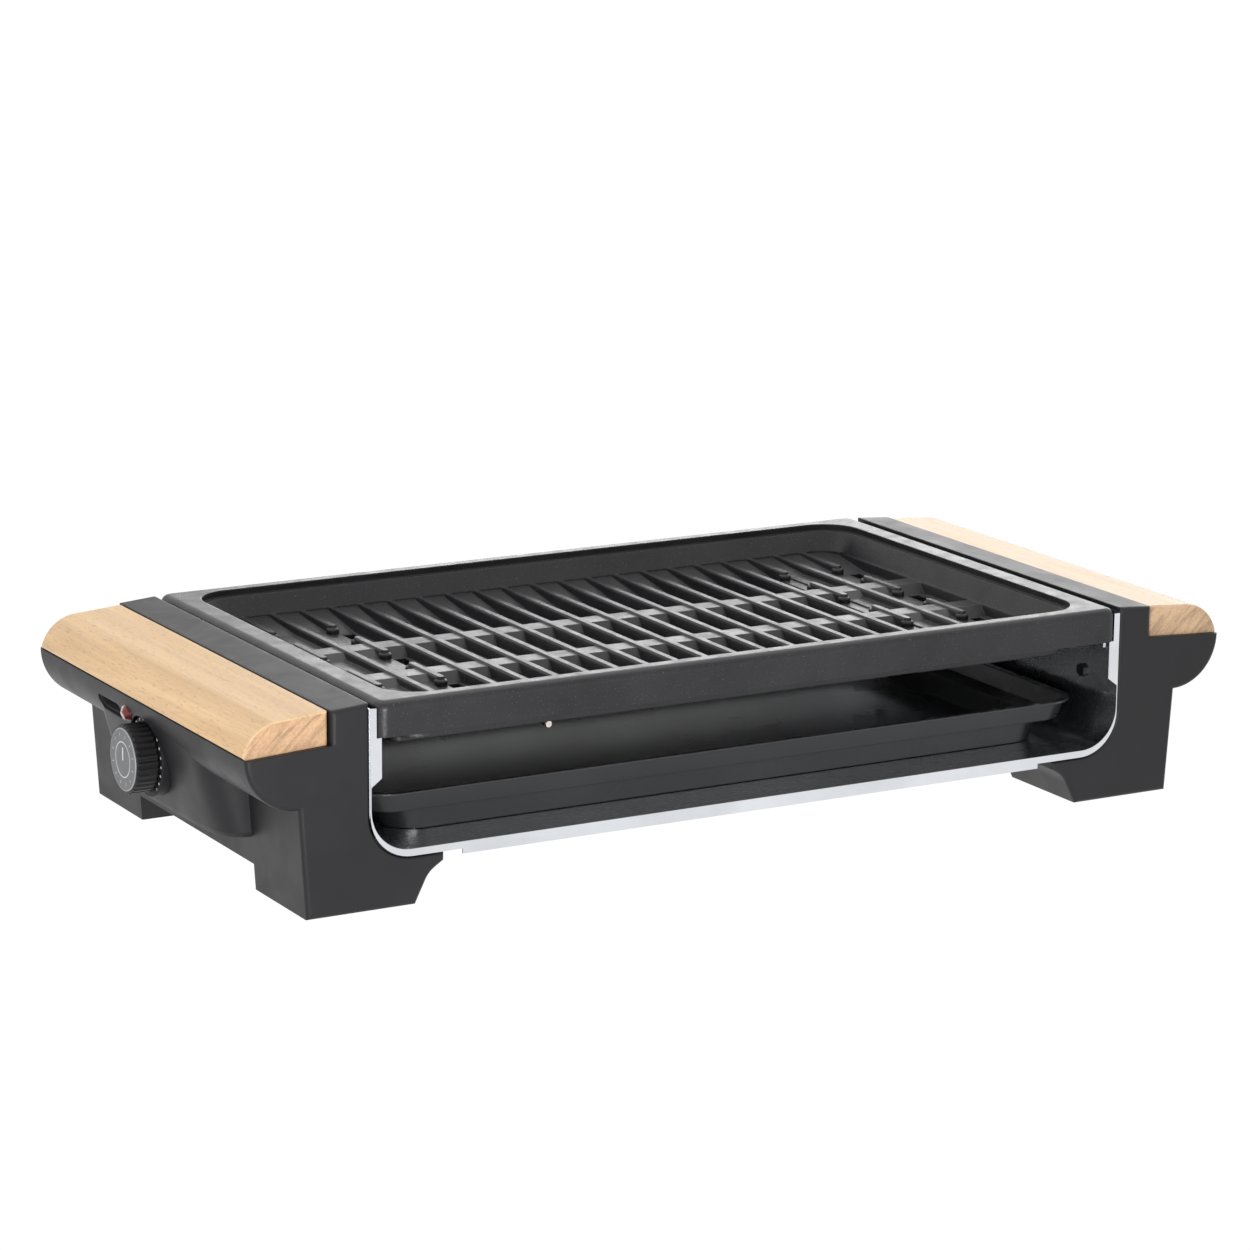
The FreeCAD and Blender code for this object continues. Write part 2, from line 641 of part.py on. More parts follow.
# ---------------------------------------------------------------- wooden handles
def wood_handle():
    """Bar with a flat top, a round brow and a foot that lies on the sloping seat."""
    inner = NOTCH + HANDLE_GAP
    seat_at_inner = SEAT_INNER - SEAT_SLOPE * HANDLE_GAP
    top = seat_at_inner + HANDLE_INNER_HEIGHT
    flat_end = V(inner + HANDLE_FLAT, 0, top - TOP_SLOPE * HANDLE_FLAT)
    brow = V(inner + HANDLE_BROW_REACH, 0, HANDLE_SEAT + HANDLE_BROW_HEIGHT + EASE)
    edge = V(OUTER, 0, HANDLE_SEAT + HANDLE_EDGE_HEIGHT)
    chamfer_top = V(OUTER, 0, HANDLE_SEAT + HANDLE_CHAMFER)
    chamfer_foot = V(OUTER - HANDLE_CHAMFER, 0, HANDLE_SEAT + SEAT_SLOPE * HANDLE_CHAMFER)
    heel = V(inner, 0, seat_at_inner)
    crown = V(inner, 0, top)
    section = Part.Wire([
        Part.LineSegment(heel, crown).toShape(),
        Part.LineSegment(crown, flat_end).toShape(),
        Part.Arc(flat_end, brow, edge).toShape(),
        Part.LineSegment(edge, chamfer_top).toShape(),
        Part.LineSegment(chamfer_top, chamfer_foot).toShape(),
        Part.LineSegment(chamfer_foot, heel).toShape(),
    ])
    half = HALF_DEPTH - HANDLE_SETBACK
    bar = extrude_across(section, -half, half)
    rims = [side for side in bar.Edges
            if abs(abs(side.CenterOfMass.y) - half) < TOUCH and side.CenterOfMass.z > HANDLE_SEAT + HANDLE_EDGE_HEIGHT]
    bar = bar.makeFillet(HANDLE_ROUND, rims)
    holes = [screw_hole(point, Z_AXIS, handle_screw_length()) for point in handle_screw_points()]
    return bar.cut(holes)


def handle_screw_length():
    return HANDLE_SEAT - handle_boss_bottom() + SCREW_LENGTH


def handle_screws():
    screws = [screw(point, Z_AXIS, handle_screw_length()) for point in handle_screw_points()]
    return Part.makeCompound(screws + [to_left(one) for one in screws])


# ---------------------------------------------------------------- pan, flange, rails
def pan_trough():
    """One bent sheet: floor and two sides."""
    inner_corner = PAN_CORNER - SHEET
    corners = [
        (SIDE, PAN_SIDE_TOP, 0),
        (PAN_INNER, PAN_SIDE_TOP, 0),
        (PAN_INNER, FLOOR_TOP, inner_corner),
        (-PAN_INNER, FLOOR_TOP, inner_corner),
        (-PAN_INNER, PAN_SIDE_TOP, 0),
        (-SIDE, PAN_SIDE_TOP, 0),
        (-SIDE, PAN_FLOOR, PAN_CORNER),
        (SIDE, PAN_FLOOR, PAN_CORNER),
    ]
    half = PAN_HALF
    return extrude_across(outline(corners, on_front), -half, half)


def flange_frame():
    """Turned edge of the pan: a lip under the floor and strips beside the opening."""
    outer = SIDE - EASE / 2
    low = PAN_FLOOR - FLANGE_LIP
    drop = SIDE - FLANGE_DROP_SETBACK
    strip = PAN_INNER - FLANGE_SIDE_WIDTH
    strip_bottom = RAIL_TOP - FLANGE_SIDE_LENGTH
    narrow = SIDE - FLANGE_TOP_WIDTH
    right = [
        (drop, low - FLANGE_DROP, 0),
        (drop, low, 0),
        (outer, low, FLANGE_CORNER),
        (outer, PAN_SIDE_TOP, 0),
        (narrow, PAN_SIDE_TOP, 0),
        (narrow, RAIL_TOP, 0),
        (strip, RAIL_TOP, 0),
        (strip, strip_bottom, 0),
        (PAN_INNER, strip_bottom - FLANGE_TAPER, 0),
        (PAN_INNER, FLOOR_TOP, PAN_CORNER - SHEET),
    ]
    left = [(-x, z, radius) for x, z, radius in reversed(right)]
    half = PAN_HALF
    return extrude_across(outline(right + left, on_front), -half - SHEET, -half)


def terminal_point(x, side):
    return V(x, side * TERMINAL_SPACING / 2, ELEMENT_HEIGHT)


def terminal_hole(side):
    """Opening for a cold end of the element through the pan and the housing wall, outboard frame."""
    start = terminal_point(PAN_INNER - 2 * CUT, side)
    return rod(ELEMENT_RADIUS + HOLE_PLAY, start, terminal_point(SIDE + WALL + CUT, side))


def capillary_hole():
    start = V(PAN_INNER - 2 * CUT, -CAPILLARY_EXIT, SENSOR_HEIGHT)
    return rod(CAPILLARY_RADIUS + JOINT_GAP, start, V(SIDE + WALL + CUT, -CAPILLARY_EXIT, SENSOR_HEIGHT))


def steel_pan():
    pan = joined([pan_trough()] + front_and_back(flange_frame()))
    holes = []
    for point in pan_screw_points():
        hole = screw_hole(point, X_AXIS, SHEET + CUT)
        holes += [hole, to_left(hole)]
    holes += [to_left(terminal_hole(side)) for side in (-1, 1)]
    holes.append(to_left(capillary_hole()))
    return pan.cut(holes)


def rear_panel():
    """Sheet that closes the back of the pan below the grill plate."""
    corner = PAN_CORNER - SHEET
    corners = [
        (PAN_INNER, RAIL_TOP, 0),
        (-PAN_INNER, RAIL_TOP, 0),
        (-PAN_INNER, FLOOR_TOP, corner),
        (PAN_INNER, FLOOR_TOP, corner),
    ]
    half = PAN_HALF
    return extrude_across(outline(corners, on_front), half - SHEET, half)


def plate_rail():
    """Angle strip on the pan's side that carries the end of the grill plate."""
    tip = PAN_INNER - RAIL_WIDTH
    corners = [
        (PAN_INNER, RAIL_TOP, 0),
        (PAN_INNER, RAIL_TOP - RAIL_HEIGHT, 0),
        (PAN_INNER - SHEET, RAIL_TOP - RAIL_HEIGHT, 0),
        (PAN_INNER - SHEET, RAIL_TOP - SHEET, 0),
        (tip, RAIL_TOP - SHEET, 0),
        (tip, RAIL_TOP, 0),
    ]
    half = PAN_HALF - RAIL_SETBACK
    return extrude_across(outline(corners, on_front), -half, half)


def pan_screws():
    screws = [screw(point, X_AXIS, SCREW_LENGTH) for point in pan_screw_points()]
    return Part.makeCompound(screws + [to_left(one) for one in screws])


# ---------------------------------------------------------------- grill plate
def rib_x(index):
    return index * RIB_PITCH


def basin():
    """Hollow above the ribs: an upright mouth, a narrow ledge and a leaning wall."""
    half_x = PLATE_END - RIM_LENGTHWISE
    half_y = PLATE_FRONT - RIM_CROSSWISE
    ledge = PLATE_TOP - LEDGE_DEPTH
    mouth = rounded_block(half_x, -half_y, half_y, BASIN_CORNER, ledge, PLATE_TOP + CUT)
    upper_x = half_x - LEDGE_WIDTH
    upper_y = half_y - LEDGE_WIDTH
    upper = rounded_rectangle(upper_x, -upper_y, upper_y, BASIN_CORNER - LEDGE_WIDTH, ledge)
    lower = rounded_rectangle(BASIN_END, -BASIN_FRONT, BASIN_FRONT, BASIN_CORNER - BASIN_INSET, RIB_TOP)
    return [mouth, tapered_block(lower, upper)]


def rib_half(depth):
    """Half width of a rib at a depth below its top; it widens faster above the bridges' level."""
    top = RIB_TOP_WIDTH / 2
    shoulder = RIB_SHOULDER_WIDTH / 2
    if depth <= BRIDGE_DROP:
        return top + (shoulder - top) * depth / BRIDGE_DROP
    return shoulder + (RIB_BASE_WIDTH / 2 - shoulder) * (depth - BRIDGE_DROP) / (CHANNEL_DEPTH - BRIDGE_DROP)


def channel_layer(x0, x1, y0, y1, ramps, depths):
    """Hollow between two rib middles, from one depth to the next, with a ramp at either end."""
    shallow, deep = depths
    high = (x0 + rib_half(shallow), x1 - rib_half(shallow), y0, y1)
    low = (x0 + rib_half(deep), x1 - rib_half(deep), y0 + ramps[0], y1 - ramps[1])
    return flat_sided_block(low, high, RIB_TOP - deep, RIB_TOP - shallow)


def channel(x0, x1, depth):
    """One channel: a groove from wall to wall, and three deeper stretches between the bridges."""
    bridge_in = BRIDGE_OFFSET - BRIDGE_WIDTH / 2
    bridge_out = BRIDGE_OFFSET + BRIDGE_WIDTH / 2
    deeper = (BRIDGE_DROP, depth)
    groove = channel_layer(x0, x1, -BASIN_FRONT, BASIN_FRONT, (0, 0), (0, BRIDGE_DROP))
    middle = channel_layer(x0, x1, -bridge_in, bridge_in, (BRIDGE_SLOPE, BRIDGE_SLOPE), deeper)
    outer = channel_layer(x0, x1, bridge_out, BASIN_FRONT, (BRIDGE_SLOPE, CHANNEL_RAMP), deeper)
    return [groove, middle] + front_and_back(outer)


def channel_sides():
    """Pairs of rib middles; beyond the last ribs, a rib half sunk in the wall stands in."""
    wall = BASIN_END + RIB_TOP_WIDTH / 2
    middles = [-wall] + [rib_x(index) for index in range(-LAST_RIB, LAST_RIB + 1)] + [wall]
    return list(zip(middles, middles[1:]))


def is_shallow(index, count):
    from_end = min(index, count - 1 - index)
    return 0 < from_end <= SHALLOW_CHANNELS


def slots(x):
    """The three slots through the floor of one channel."""
    half = SLOT_WIDTH / 2
    slope_foot = BRIDGE_WIDTH / 2 + BRIDGE_SLOPE + SLOT_MARGIN
    inner_end = BRIDGE_OFFSET - slope_foot
    outer_start = BRIDGE_OFFSET + slope_foot
    z0 = PLATE_UNDERSIDE - CUT
    z1 = CHANNEL_FLOOR + CUT
    middle = box(x - half, x + half, -inner_end, inner_end, z0, z1)
    outer = box(x - half, x + half, outer_start, outer_start + SLOT_OUTER_LENGTH, z0, z1)
    return [middle] + front_and_back(outer)


def channels_and_slots():
    floor = rounded_block(BASIN_END, -BASIN_FRONT, BASIN_FRONT, BASIN_CORNER - BASIN_INSET,
                          PLATE_UNDERSIDE, RIB_TOP + CUT)
    sides = channel_sides()
    cutters = []
    for index, (x0, x1) in enumerate(sides):
        shallow = is_shallow(index, len(sides))
        hollows = channel(x0, x1, SHALLOW_DEPTH if shallow else CHANNEL_DEPTH)
        if index in (0, len(sides) - 1):
            hollows = [hollow.common(floor) for hollow in hollows]
        cutters += hollows
        if not shallow:
            cutters += slots((x0 + x1) / 2)
    return cutters


def rib_breaks():
    """Gaps in the ribs that are made of short lengths."""
    half = RIB_BASE_WIDTH / 2 + EASE
    floor = RIB_TOP - BREAK_DEPTH
    cutters = []
    for index in BROKEN_RIBS:
        for x in (rib_x(index), rib_x(-index)):
            middle = box(x - half, x + half, -BREAK_MIDDLE_LENGTH / 2, BREAK_MIDDLE_LENGTH / 2, floor, RIB_TOP + CUT)
            outer = box(x - half, x + half, BREAK_OUTER_START, BREAK_OUTER_START + BREAK_OUTER_LENGTH,
                        floor, RIB_TOP + CUT)
            cutters += [middle] + front_and_back(outer)
    return cutters


def rib_end_knobs():
    """Round ends of the short rib lengths, as wide as the ribs at every depth."""
    ends = [BREAK_MIDDLE_LENGTH / 2, BREAK_OUTER_START, BREAK_OUTER_START + BREAK_OUTER_LENGTH]
    knobs = []
    for index in BROKEN_RIBS:
        for x in (rib_x(index), rib_x(-index)):
            for y in ends:
                foot = polygon(V(x, y, CHANNEL_FLOOR), Z_AXIS, rib_half(CHANNEL_DEPTH), RIB_END_SIDES)
                head = polygon(V(x, y, RIB_TOP), Z_AXIS, rib_half(0), RIB_END_SIDES)
                knobs += front_and_back(tapered_block(foot, head))
    return knobs


def heat_ring():
    """Low wall under the plate round the element, open at the ends and beside the feet."""
    half_x = PLATE_END - RING_END_SETBACK
    half_y = PLATE_FRONT - RING_SIDE_SETBACK
    z0 = PLATE_UNDERSIDE - RING_DEPTH
    z1 = PLATE_UNDERSIDE + EASE
    ring = rounded_block(half_x, -half_y, half_y, RING_WALL * 2, z0, z1)
    ring = ring.cut(box(RING_WALL - half_x, half_x - RING_WALL, RING_WALL - half_y, half_y - RING_WALL,
                        z0 - CUT, z1 + CUT))
    reach_x = half_x + CUT
    reach_y = half_y + CUT
    gap_x = PLATE_END - RING_SIDE_GAP_SETBACK
    gaps = [box(-reach_x, reach_x, -RING_END_GAP / 2, RING_END_GAP / 2, z0 - CUT, PLATE_UNDERSIDE)]
    for x in (-gap_x, gap_x):
        gaps.append(box(x - RING_SIDE_GAP / 2, x + RING_SIDE_GAP / 2, -reach_y, reach_y, z0 - CUT, PLATE_UNDERSIDE))
    return ring.cut(gaps)


def rim_hollow():
    """Hollow under the rim, between the outer skirt and the basin wall."""
    half_x = PLATE_END - PLATE_WALL
    half_y = PLATE_FRONT - PLATE_WALL
    inner_x = PLATE_END - RIM_LENGTHWISE + PLATE_WALL
    inner_y = PLATE_FRONT - RIM_CROSSWISE + PLATE_WALL
    z1 = PLATE_TOP - LEDGE_DEPTH
    outer = rounded_block(half_x, -half_y, half_y, PLATE_CORNER - PLATE_WALL, PLATE_BOTTOM - CUT, z1)
    inner = rounded_block(inner_x, -inner_y, inner_y, BASIN_CORNER + PLATE_WALL, PLATE_BOTTOM - 2 * CUT, z1 + CUT)
    return outer.cut(inner)


def grill_plate():
    block = rounded_block(PLATE_END, -PLATE_FRONT, PLATE_FRONT, PLATE_CORNER, PLATE_BOTTOM, PLATE_TOP)
    top_rim = [edge for edge in block.Edges if abs(edge.CenterOfMass.z - PLATE_TOP) < TOUCH]
    block = block.makeFillet(PLATE_EDGE, top_rim)
    trough_front = BASIN_FRONT + PLATE_WALL
    trough = rounded_block(BASIN_END + PLATE_WALL, -trough_front, trough_front, BASIN_CORNER - LEDGE_WIDTH, PLATE_UNDERSIDE, PLATE_BOTTOM + CUT)
    cast = joined([block.cut(rim_hollow()), trough, heat_ring()])
    cast = cast.cut(basin() + channels_and_slots() + rib_breaks())
    return joined([cast] + rib_end_knobs())


# ---------------------------------------------------------------- drip tray
def tray_ends(inset_x, inset_y):
    half = PAN_INNER - TRAY_SIDE_GAP
    front = TRAY_FRONT_SETBACK - PAN_HALF
    back = PAN_HALF - TRAY_BACK_SETBACK
    return half - inset_x, front + inset_y, back - inset_y


def tray_solid(inset):
    """Outer form of the tray, or its hollow when inset by the sheet."""
    bottom = FLOOR_TOP + JOINT_GAP
    rim = bottom + TRAY_HEIGHT
    ledge = rim - TRAY_BAND + inset
    radius = TRAY_CORNER - inset
    top = tray_ends(inset, inset)
    band = tray_ends(TRAY_BAND_TAPER + inset, TRAY_BAND_TAPER + inset)
    step = tray_ends(TRAY_BAND_TAPER + TRAY_LEDGE_END + inset, TRAY_BAND_TAPER + TRAY_LEDGE_SIDE + inset)
    base = tray_ends(TRAY_BAND_TAPER + TRAY_LEDGE_END + TRAY_BOTTOM_TAPER + inset,
                     TRAY_BAND_TAPER + TRAY_LEDGE_SIDE + TRAY_BOTTOM_TAPER + inset)
    rise = CUT if inset > 0 else 0
    mouth = rounded_block(*top, radius, rim - EASE, rim + rise) if inset > 0 else None
    upper = tapered_block(rounded_rectangle(*band, radius, ledge), rounded_rectangle(*top, radius, rim))
    lower = tapered_block(rounded_rectangle(*base, radius, bottom + inset), rounded_rectangle(*step, radius, ledge))
    return [part for part in (mouth, upper, lower) if part is not None]


def drip_tray():
    rim = FLOOR_TOP + JOINT_GAP + TRAY_HEIGHT
    lip_ends = tray_ends(-TRAY_LIP, -TRAY_LIP)
    lip = rounded_block(*lip_ends, TRAY_CORNER + TRAY_LIP, rim - TRAY_LIP_THICKNESS, rim)
    body = joined(tray_solid(0) + [lip])
    return body.cut(tray_solid(SHEET))


# ---------------------------------------------------------------- heating element and its brackets
def element_path(inset_end):
    """Route of the element in the outboard frame: in, out to the sides, round and back."""
    inner = ELEMENT_INNER_RUN
    outer = ELEMENT_INNER_RUN + 2 * ELEMENT_PITCH
    far = -ELEMENT_FAR_END
    near = PLATE_END - ELEMENT_NEAR_SETBACK
    terminal = TERMINAL_SPACING / 2
    half = [
        (SIDE + inset_end, -terminal, 0),
        (PLATE_END - SPREAD_START_SETBACK, -terminal, ELEMENT_SPREAD_ROUND),
        (PLATE_END - SPREAD_END_SETBACK, -outer, ELEMENT_WIDE_ROUND),
        (far, -outer, ELEMENT_PITCH),
        (far, -inner, ELEMENT_PITCH),
        (near, -inner, inner),
    ]
    whole = half + [(x, -y, radius) for x, y, radius in reversed(half)]
    return [(V(x, y, ELEMENT_HEIGHT), radius) for x, y, radius in whole]


def heating_element():
    return to_left(sweep_tube(element_path(TERMINAL_REACH), ELEMENT_RADIUS, ELEMENT_SIDES))


def bracket_plate(height):
    half = BRACKET_WIDTH / 2
    return box(PAN_INNER - SHEET, PAN_INNER, -half, half, height - BRACKET_DROP, height + BRACKET_HEIGHT / 2)


def terminal_bracket():
    """Plate on the pan's left side that clamps the two cold ends."""
    plate = bracket_plate(ELEMENT_HEIGHT).common(
        box(0, SIDE, -CAPILLARY_EXIT + BRACKET_DROP / 2, BRACKET_WIDTH, 0, RAIL_TOP - RAIL_HEIGHT - JOINT_GAP))
    holes = [rod(ELEMENT_RADIUS, terminal_point(PAN_INNER - 2 * CUT, side), terminal_point(SIDE, side))
             for side in (-1, 1)]
    return to_left(plate.cut(holes))


def far_bracket():
    """Two arms from the pan's right side that carry the U-turns of the element."""
    arm_top = ELEMENT_HEIGHT - ELEMENT_RADIUS
    turn = ELEMENT_INNER_RUN + ELEMENT_PITCH
    half = turn + BRACKET_ARM / 2
    wall_plate = box(PAN_INNER - SHEET, PAN_INNER, -half, half, arm_top - BRACKET_DROP, arm_top)
    arm = box(ELEMENT_FAR_END - BRACKET_ARM, PAN_INNER, turn - BRACKET_ARM / 2, half, arm_top - SHEET, arm_top)
    return joined([wall_plate] + front_and_back(arm))


def sensor_bulb():
    """Bulb that touches the element from below, with its thin tube led into the left housing."""
    x = PLATE_END - SENSOR_END_SETBACK
    tip = V(x, SENSOR_TIP_SETBACK - PLATE_FRONT, SENSOR_HEIGHT)
    neck = tip + Y_AXIS * SENSOR_LENGTH
    bulb = rod(SENSOR_RADIUS, tip, neck)
    corner = V(x, -CAPILLARY_EXIT, SENSOR_HEIGHT)
    route = [(neck - Y_AXIS * EASE, 0), (corner, CAPILLARY_ROUND),
             (V(SIDE + WALL + TERMINAL_REACH, -CAPILLARY_EXIT, SENSOR_HEIGHT), 0)]
    return to_left(joined([bulb, sweep_tube(route, CAPILLARY_RADIUS, TUBE_SIDES)]))


# ---------------------------------------------------------------- knob, dial and thermostat
def ribbed_disc(radius, x0, x1):
    """Disc with flat-topped grip ribs round its edge, axis along X."""
    step = 2 * math.pi / KNOB_RIBS
    root = radius - KNOB_RIB_HEIGHT
    points = []
    for index in range(KNOB_RIBS):
        for share, reach in ((0.0, root), (0.35, root), (0.5, radius), (0.85, radius)):
            angle = (index + share) * step
            points.append(V(x0, reach * math.cos(angle), KNOB_AXIS_HEIGHT + reach * math.sin(angle)))
    wire = Part.makePolygon(points + points[:1])
    return Part.Face(wire).extrude(V(x1 - x0, 0, 0))


def knob():
    front = KNOB_FACE - KNOB_CAP_THICKNESS + KNOB_CHAMFER
    body = ribbed_disc(KNOB_RADIUS, KNOB_BACK, front)
    cone = Part.makeCone(KNOB_RADIUS + KNOB_LENGTH, KNOB_RADIUS - KNOB_CHAMFER, KNOB_LENGTH + KNOB_CHAMFER,
                         knob_point(front - KNOB_LENGTH - KNOB_CHAMFER), X_AXIS)
    body = body.common(cone)
    inside = knob_rod(KNOB_RADIUS - KNOB_RIB_HEIGHT - KNOB_WALL, KNOB_BACK - CUT, front - KNOB_WALL)
    hub = knob_rod(KNOB_HUB_RADIUS, KNOB_BACK - CUT, front)
    body = body.cut([inside.cut(hub), knob_rod(KNOB_CAP_RADIUS, KNOB_FACE - KNOB_CAP_THICKNESS, KNOB_FACE + CUT)])
    return to_left(body.cut(knob_rod(SPINDLE_RADIUS, KNOB_BACK - CUT, spindle_tip())))


def spindle_tip():
    return KNOB_FACE - KNOB_CAP_THICKNESS - KNOB_WALL


def knob_cap():
    cap = knob_rod(KNOB_CAP_RADIUS, KNOB_FACE - KNOB_CAP_THICKNESS, KNOB_FACE)
    rim = [edge for edge in cap.Edges if abs(edge.CenterOfMass.x - KNOB_FACE) < TOUCH]
    return to_left(cap.makeChamfer(EASE / 2, rim))


def dial_ring():
    """Drum on the housing's round seat; its front face carries the dots of the scale."""
    drum = knob_rod(DIAL_RADIUS, DIAL_SEAT, DIAL_FRONT)
    rim = [edge for edge in drum.Edges if abs(edge.CenterOfMass.x - DIAL_FRONT) < TOUCH]
    drum = drum.makeChamfer(EASE, rim)
    inside = knob_rod(DIAL_RADIUS - DIAL_WALL, DIAL_SEAT - CUT, DIAL_FRONT - DIAL_WALL)
    bore = knob_rod(DIAL_BORE, DIAL_SEAT - CUT, KNOB_FACE)
    return to_left(drum.cut([inside, bore]))


def thermostat_front():
    return DIAL_SEAT - WALL


def thermostat():
    """Capillary thermostat: box, threaded bush through the housing and two flat tabs."""
    front = thermostat_front()
    half_y = THERMOSTAT_WIDTH / 2
    half_z = THERMOSTAT_HEIGHT / 2
    case = box(front - THERMOSTAT_DEPTH, front, -half_y, half_y,
               KNOB_AXIS_HEIGHT - half_z, KNOB_AXIS_HEIGHT + half_z)
    bush = knob_rod(BUSH_RADIUS, front, front + BUSH_LENGTH)
    back = front - THERMOSTAT_DEPTH
    tabs = [box(back - TAB_LENGTH, back, y - TAB_WIDTH / 2, y + TAB_WIDTH / 2,
                KNOB_AXIS_HEIGHT - half_z / 2 - SHEET, KNOB_AXIS_HEIGHT - half_z / 2)
            for y in (-half_y / 2, half_y / 2)]
    bore = knob_rod(SPINDLE_RADIUS + SHAFT_GAP, front - SPINDLE_DEPTH - JOINT_GAP, front + BUSH_LENGTH + CUT)
    return to_left(joined([case, bush] + tabs).cut(bore))


def thermostat_nut():
    nut = hexagon_bar(NUT_FLATS, knob_point(DIAL_SEAT), knob_point(DIAL_SEAT + NUT_THICKNESS))
    return to_left(nut.cut(knob_rod(BUSH_RADIUS, DIAL_SEAT - CUT, KNOB_FACE)))


def thermostat_spindle():
    return to_left(knob_rod(SPINDLE_RADIUS, thermostat_front() - SPINDLE_DEPTH, spindle_tip()))


# ---------------------------------------------------------------- lamp, cord outlet, wiring
def lamp_lens():
    """Shallow dome that stands on the quarter round over the lamp's hole."""
    base = on_bulge(LAMP_ANGLE, LAMP_OFFSET, -EASE)
    outward = (on_bulge(LAMP_ANGLE, LAMP_OFFSET, 1) - on_bulge(LAMP_ANGLE, LAMP_OFFSET, 0)).normalize()
    disc = rod(LAMP_RADIUS, base, base + outward * (EASE + LAMP_DOME))
    rim = [edge for edge in disc.Edges if (edge.CenterOfMass - base).Length > LAMP_DOME]
    return disc.makeChamfer(LAMP_DOME - EASE, rim)


def bulge_core():
    """Round bar whose skin is the quarter round under the handle."""
    reach = Y_AXIS * POD_HALF_WIDTH
    return rod(BULGE_RADIUS, BULGE_CENTRE - reach, BULGE_CENTRE + reach)


def pilot_lamp_lens():
    return to_left(lamp_lens().cut([bulge_core(), pod_outside()]))


def pilot_lamp_body():
    start = on_bulge(LAMP_ANGLE, LAMP_OFFSET, -LAMP_BODY_LENGTH)
    body = rod(LAMP_BODY_RADIUS, start, on_bulge(LAMP_ANGLE, LAMP_OFFSET, LAMP_DOME))
    return to_left(body.common(bulge_core()))


def outlet_bar(margin, inner, outer):
    """Oval bar through the quarter round at the cord outlet, grown all round by a margin."""
    radius = OUTLET_HEIGHT / 2 + margin
    half = (OUTLET_LENGTH - OUTLET_HEIGHT) / 2
    x0 = BULGE_RADIUS + inner
    x1 = BULGE_RADIUS + outer
    ends = front_and_back(rod(radius, V(x0, half, 0), V(x1, half, 0)))
    bar = joined([box(x0, x1, -half, half, -radius, radius)] + ends)
    bar.rotate(V(0, 0, 0), Y_AXIS, OUTLET_ANGLE)
    bar.translate(BULGE_CENTRE + Y_AXIS * OUTLET_OFFSET)
    return bar


def cord_gland():
    """Oval sleeve in the opening where the supply cord enters, with a collar behind the wall."""
    stop = -ROUND_WALL - CUT
    sleeve = outlet_bar(0, -GLAND_LENGTH, -GLAND_RECESS)
    collar = outlet_bar(GLAND_COLLAR, stop - GLAND_COLLAR, stop)
    bore = outlet_bar(-GLAND_WALL, -GLAND_LENGTH - CUT, OUTLET_REACH)
    return to_left(joined([sleeve, collar]).cut(bore))


def inner_face(stand_off):
    """Distance outboard to something standing off the housing's inner wall."""
    return SIDE + WALL + stand_off


def block_offset():
    return HALF_DEPTH - BLOCK_SETBACK


def terminal_block():
    """Three-pole connector block on the housing's inner wall."""
    x0 = inner_face(0)
    y0 = block_offset() - BLOCK_LENGTH / 2
    block = box(x0, x0 + BLOCK_WIDTH, y0, y0 + BLOCK_LENGTH, BLOCK_FLOOR, BLOCK_FLOOR + BLOCK_HEIGHT)
    pitch = BLOCK_LENGTH / BLOCK_POLES
    wells = []
    for pole in range(BLOCK_POLES):
        mouth = V(x0 + BLOCK_WIDTH * 3 / 4, y0 + (pole + 0.5) * pitch, BLOCK_FLOOR + BLOCK_HEIGHT)
        wells.append(rod(SCREW_RADIUS, mouth - Z_AXIS * BLOCK_HEIGHT / 2, mouth + Z_AXIS))
    return to_left(block.cut(wells))


def fuse_end(side):
    return V(inner_face(FUSE_RADIUS), FUSE_OFFSET + side * FUSE_LENGTH / 2, FUSE_HEIGHT)


def thermal_fuse():
    return to_left(rod(FUSE_RADIUS, fuse_end(-1), fuse_end(1)))


def wire(points):
    """Insulated wire along straight runs with round bends, outboard frame."""
    return to_left(sweep_tube([(point, WIRE_ROUND) for point in points], WIRE_RADIUS, TUBE_SIDES))


def tab_end(side):
    x = thermostat_front() - THERMOSTAT_DEPTH - TAB_LENGTH
    height = KNOB_AXIS_HEIGHT - THERMOSTAT_HEIGHT / 4 - SHEET / 2
    return V(x, side * THERMOSTAT_WIDTH / 4, height)


def wires():
    """The four inner leads: block, thermostat, element, fuse and back to the block."""
    block_side = V(inner_face(WIRE_STAND_OFF), block_offset() - BLOCK_LENGTH / 2, BLOCK_FLOOR + BLOCK_HEIGHT / 2)
    to_tab = V(block_side.x, tab_end(1).y, tab_end(1).z)
    beyond = SIDE + TERMINAL_REACH + WIRE_STAND_OFF
    cold_end = [terminal_point(SIDE + TERMINAL_REACH, side) for side in (-1, 1)]
    low_turn = V(beyond, tab_end(-1).y, tab_end(-1).z)
    high_turn = V(beyond, cold_end[0].y, ELEMENT_HEIGHT)
    fuse_turn = [V(beyond, cold_end[1].y, ELEMENT_HEIGHT), V(beyond, cold_end[1].y, FUSE_HEIGHT),
                 V(fuse_end(-1).x, cold_end[1].y, FUSE_HEIGHT)]
    block_top = V(fuse_end(1).x, block_offset(), BLOCK_FLOOR + BLOCK_HEIGHT)
    return {
        "wire_block_to_thermostat": wire([block_side, to_tab, tab_end(1)]),
        "wire_thermostat_to_element": wire([tab_end(-1), low_turn, high_turn, cold_end[0]]),
        "wire_element_to_fuse": wire([cold_end[1]] + fuse_turn + [fuse_end(-1)]),
        "wire_fuse_to_block": wire([fuse_end(1), V(block_top.x, block_top.y, FUSE_HEIGHT), block_top]),
    }


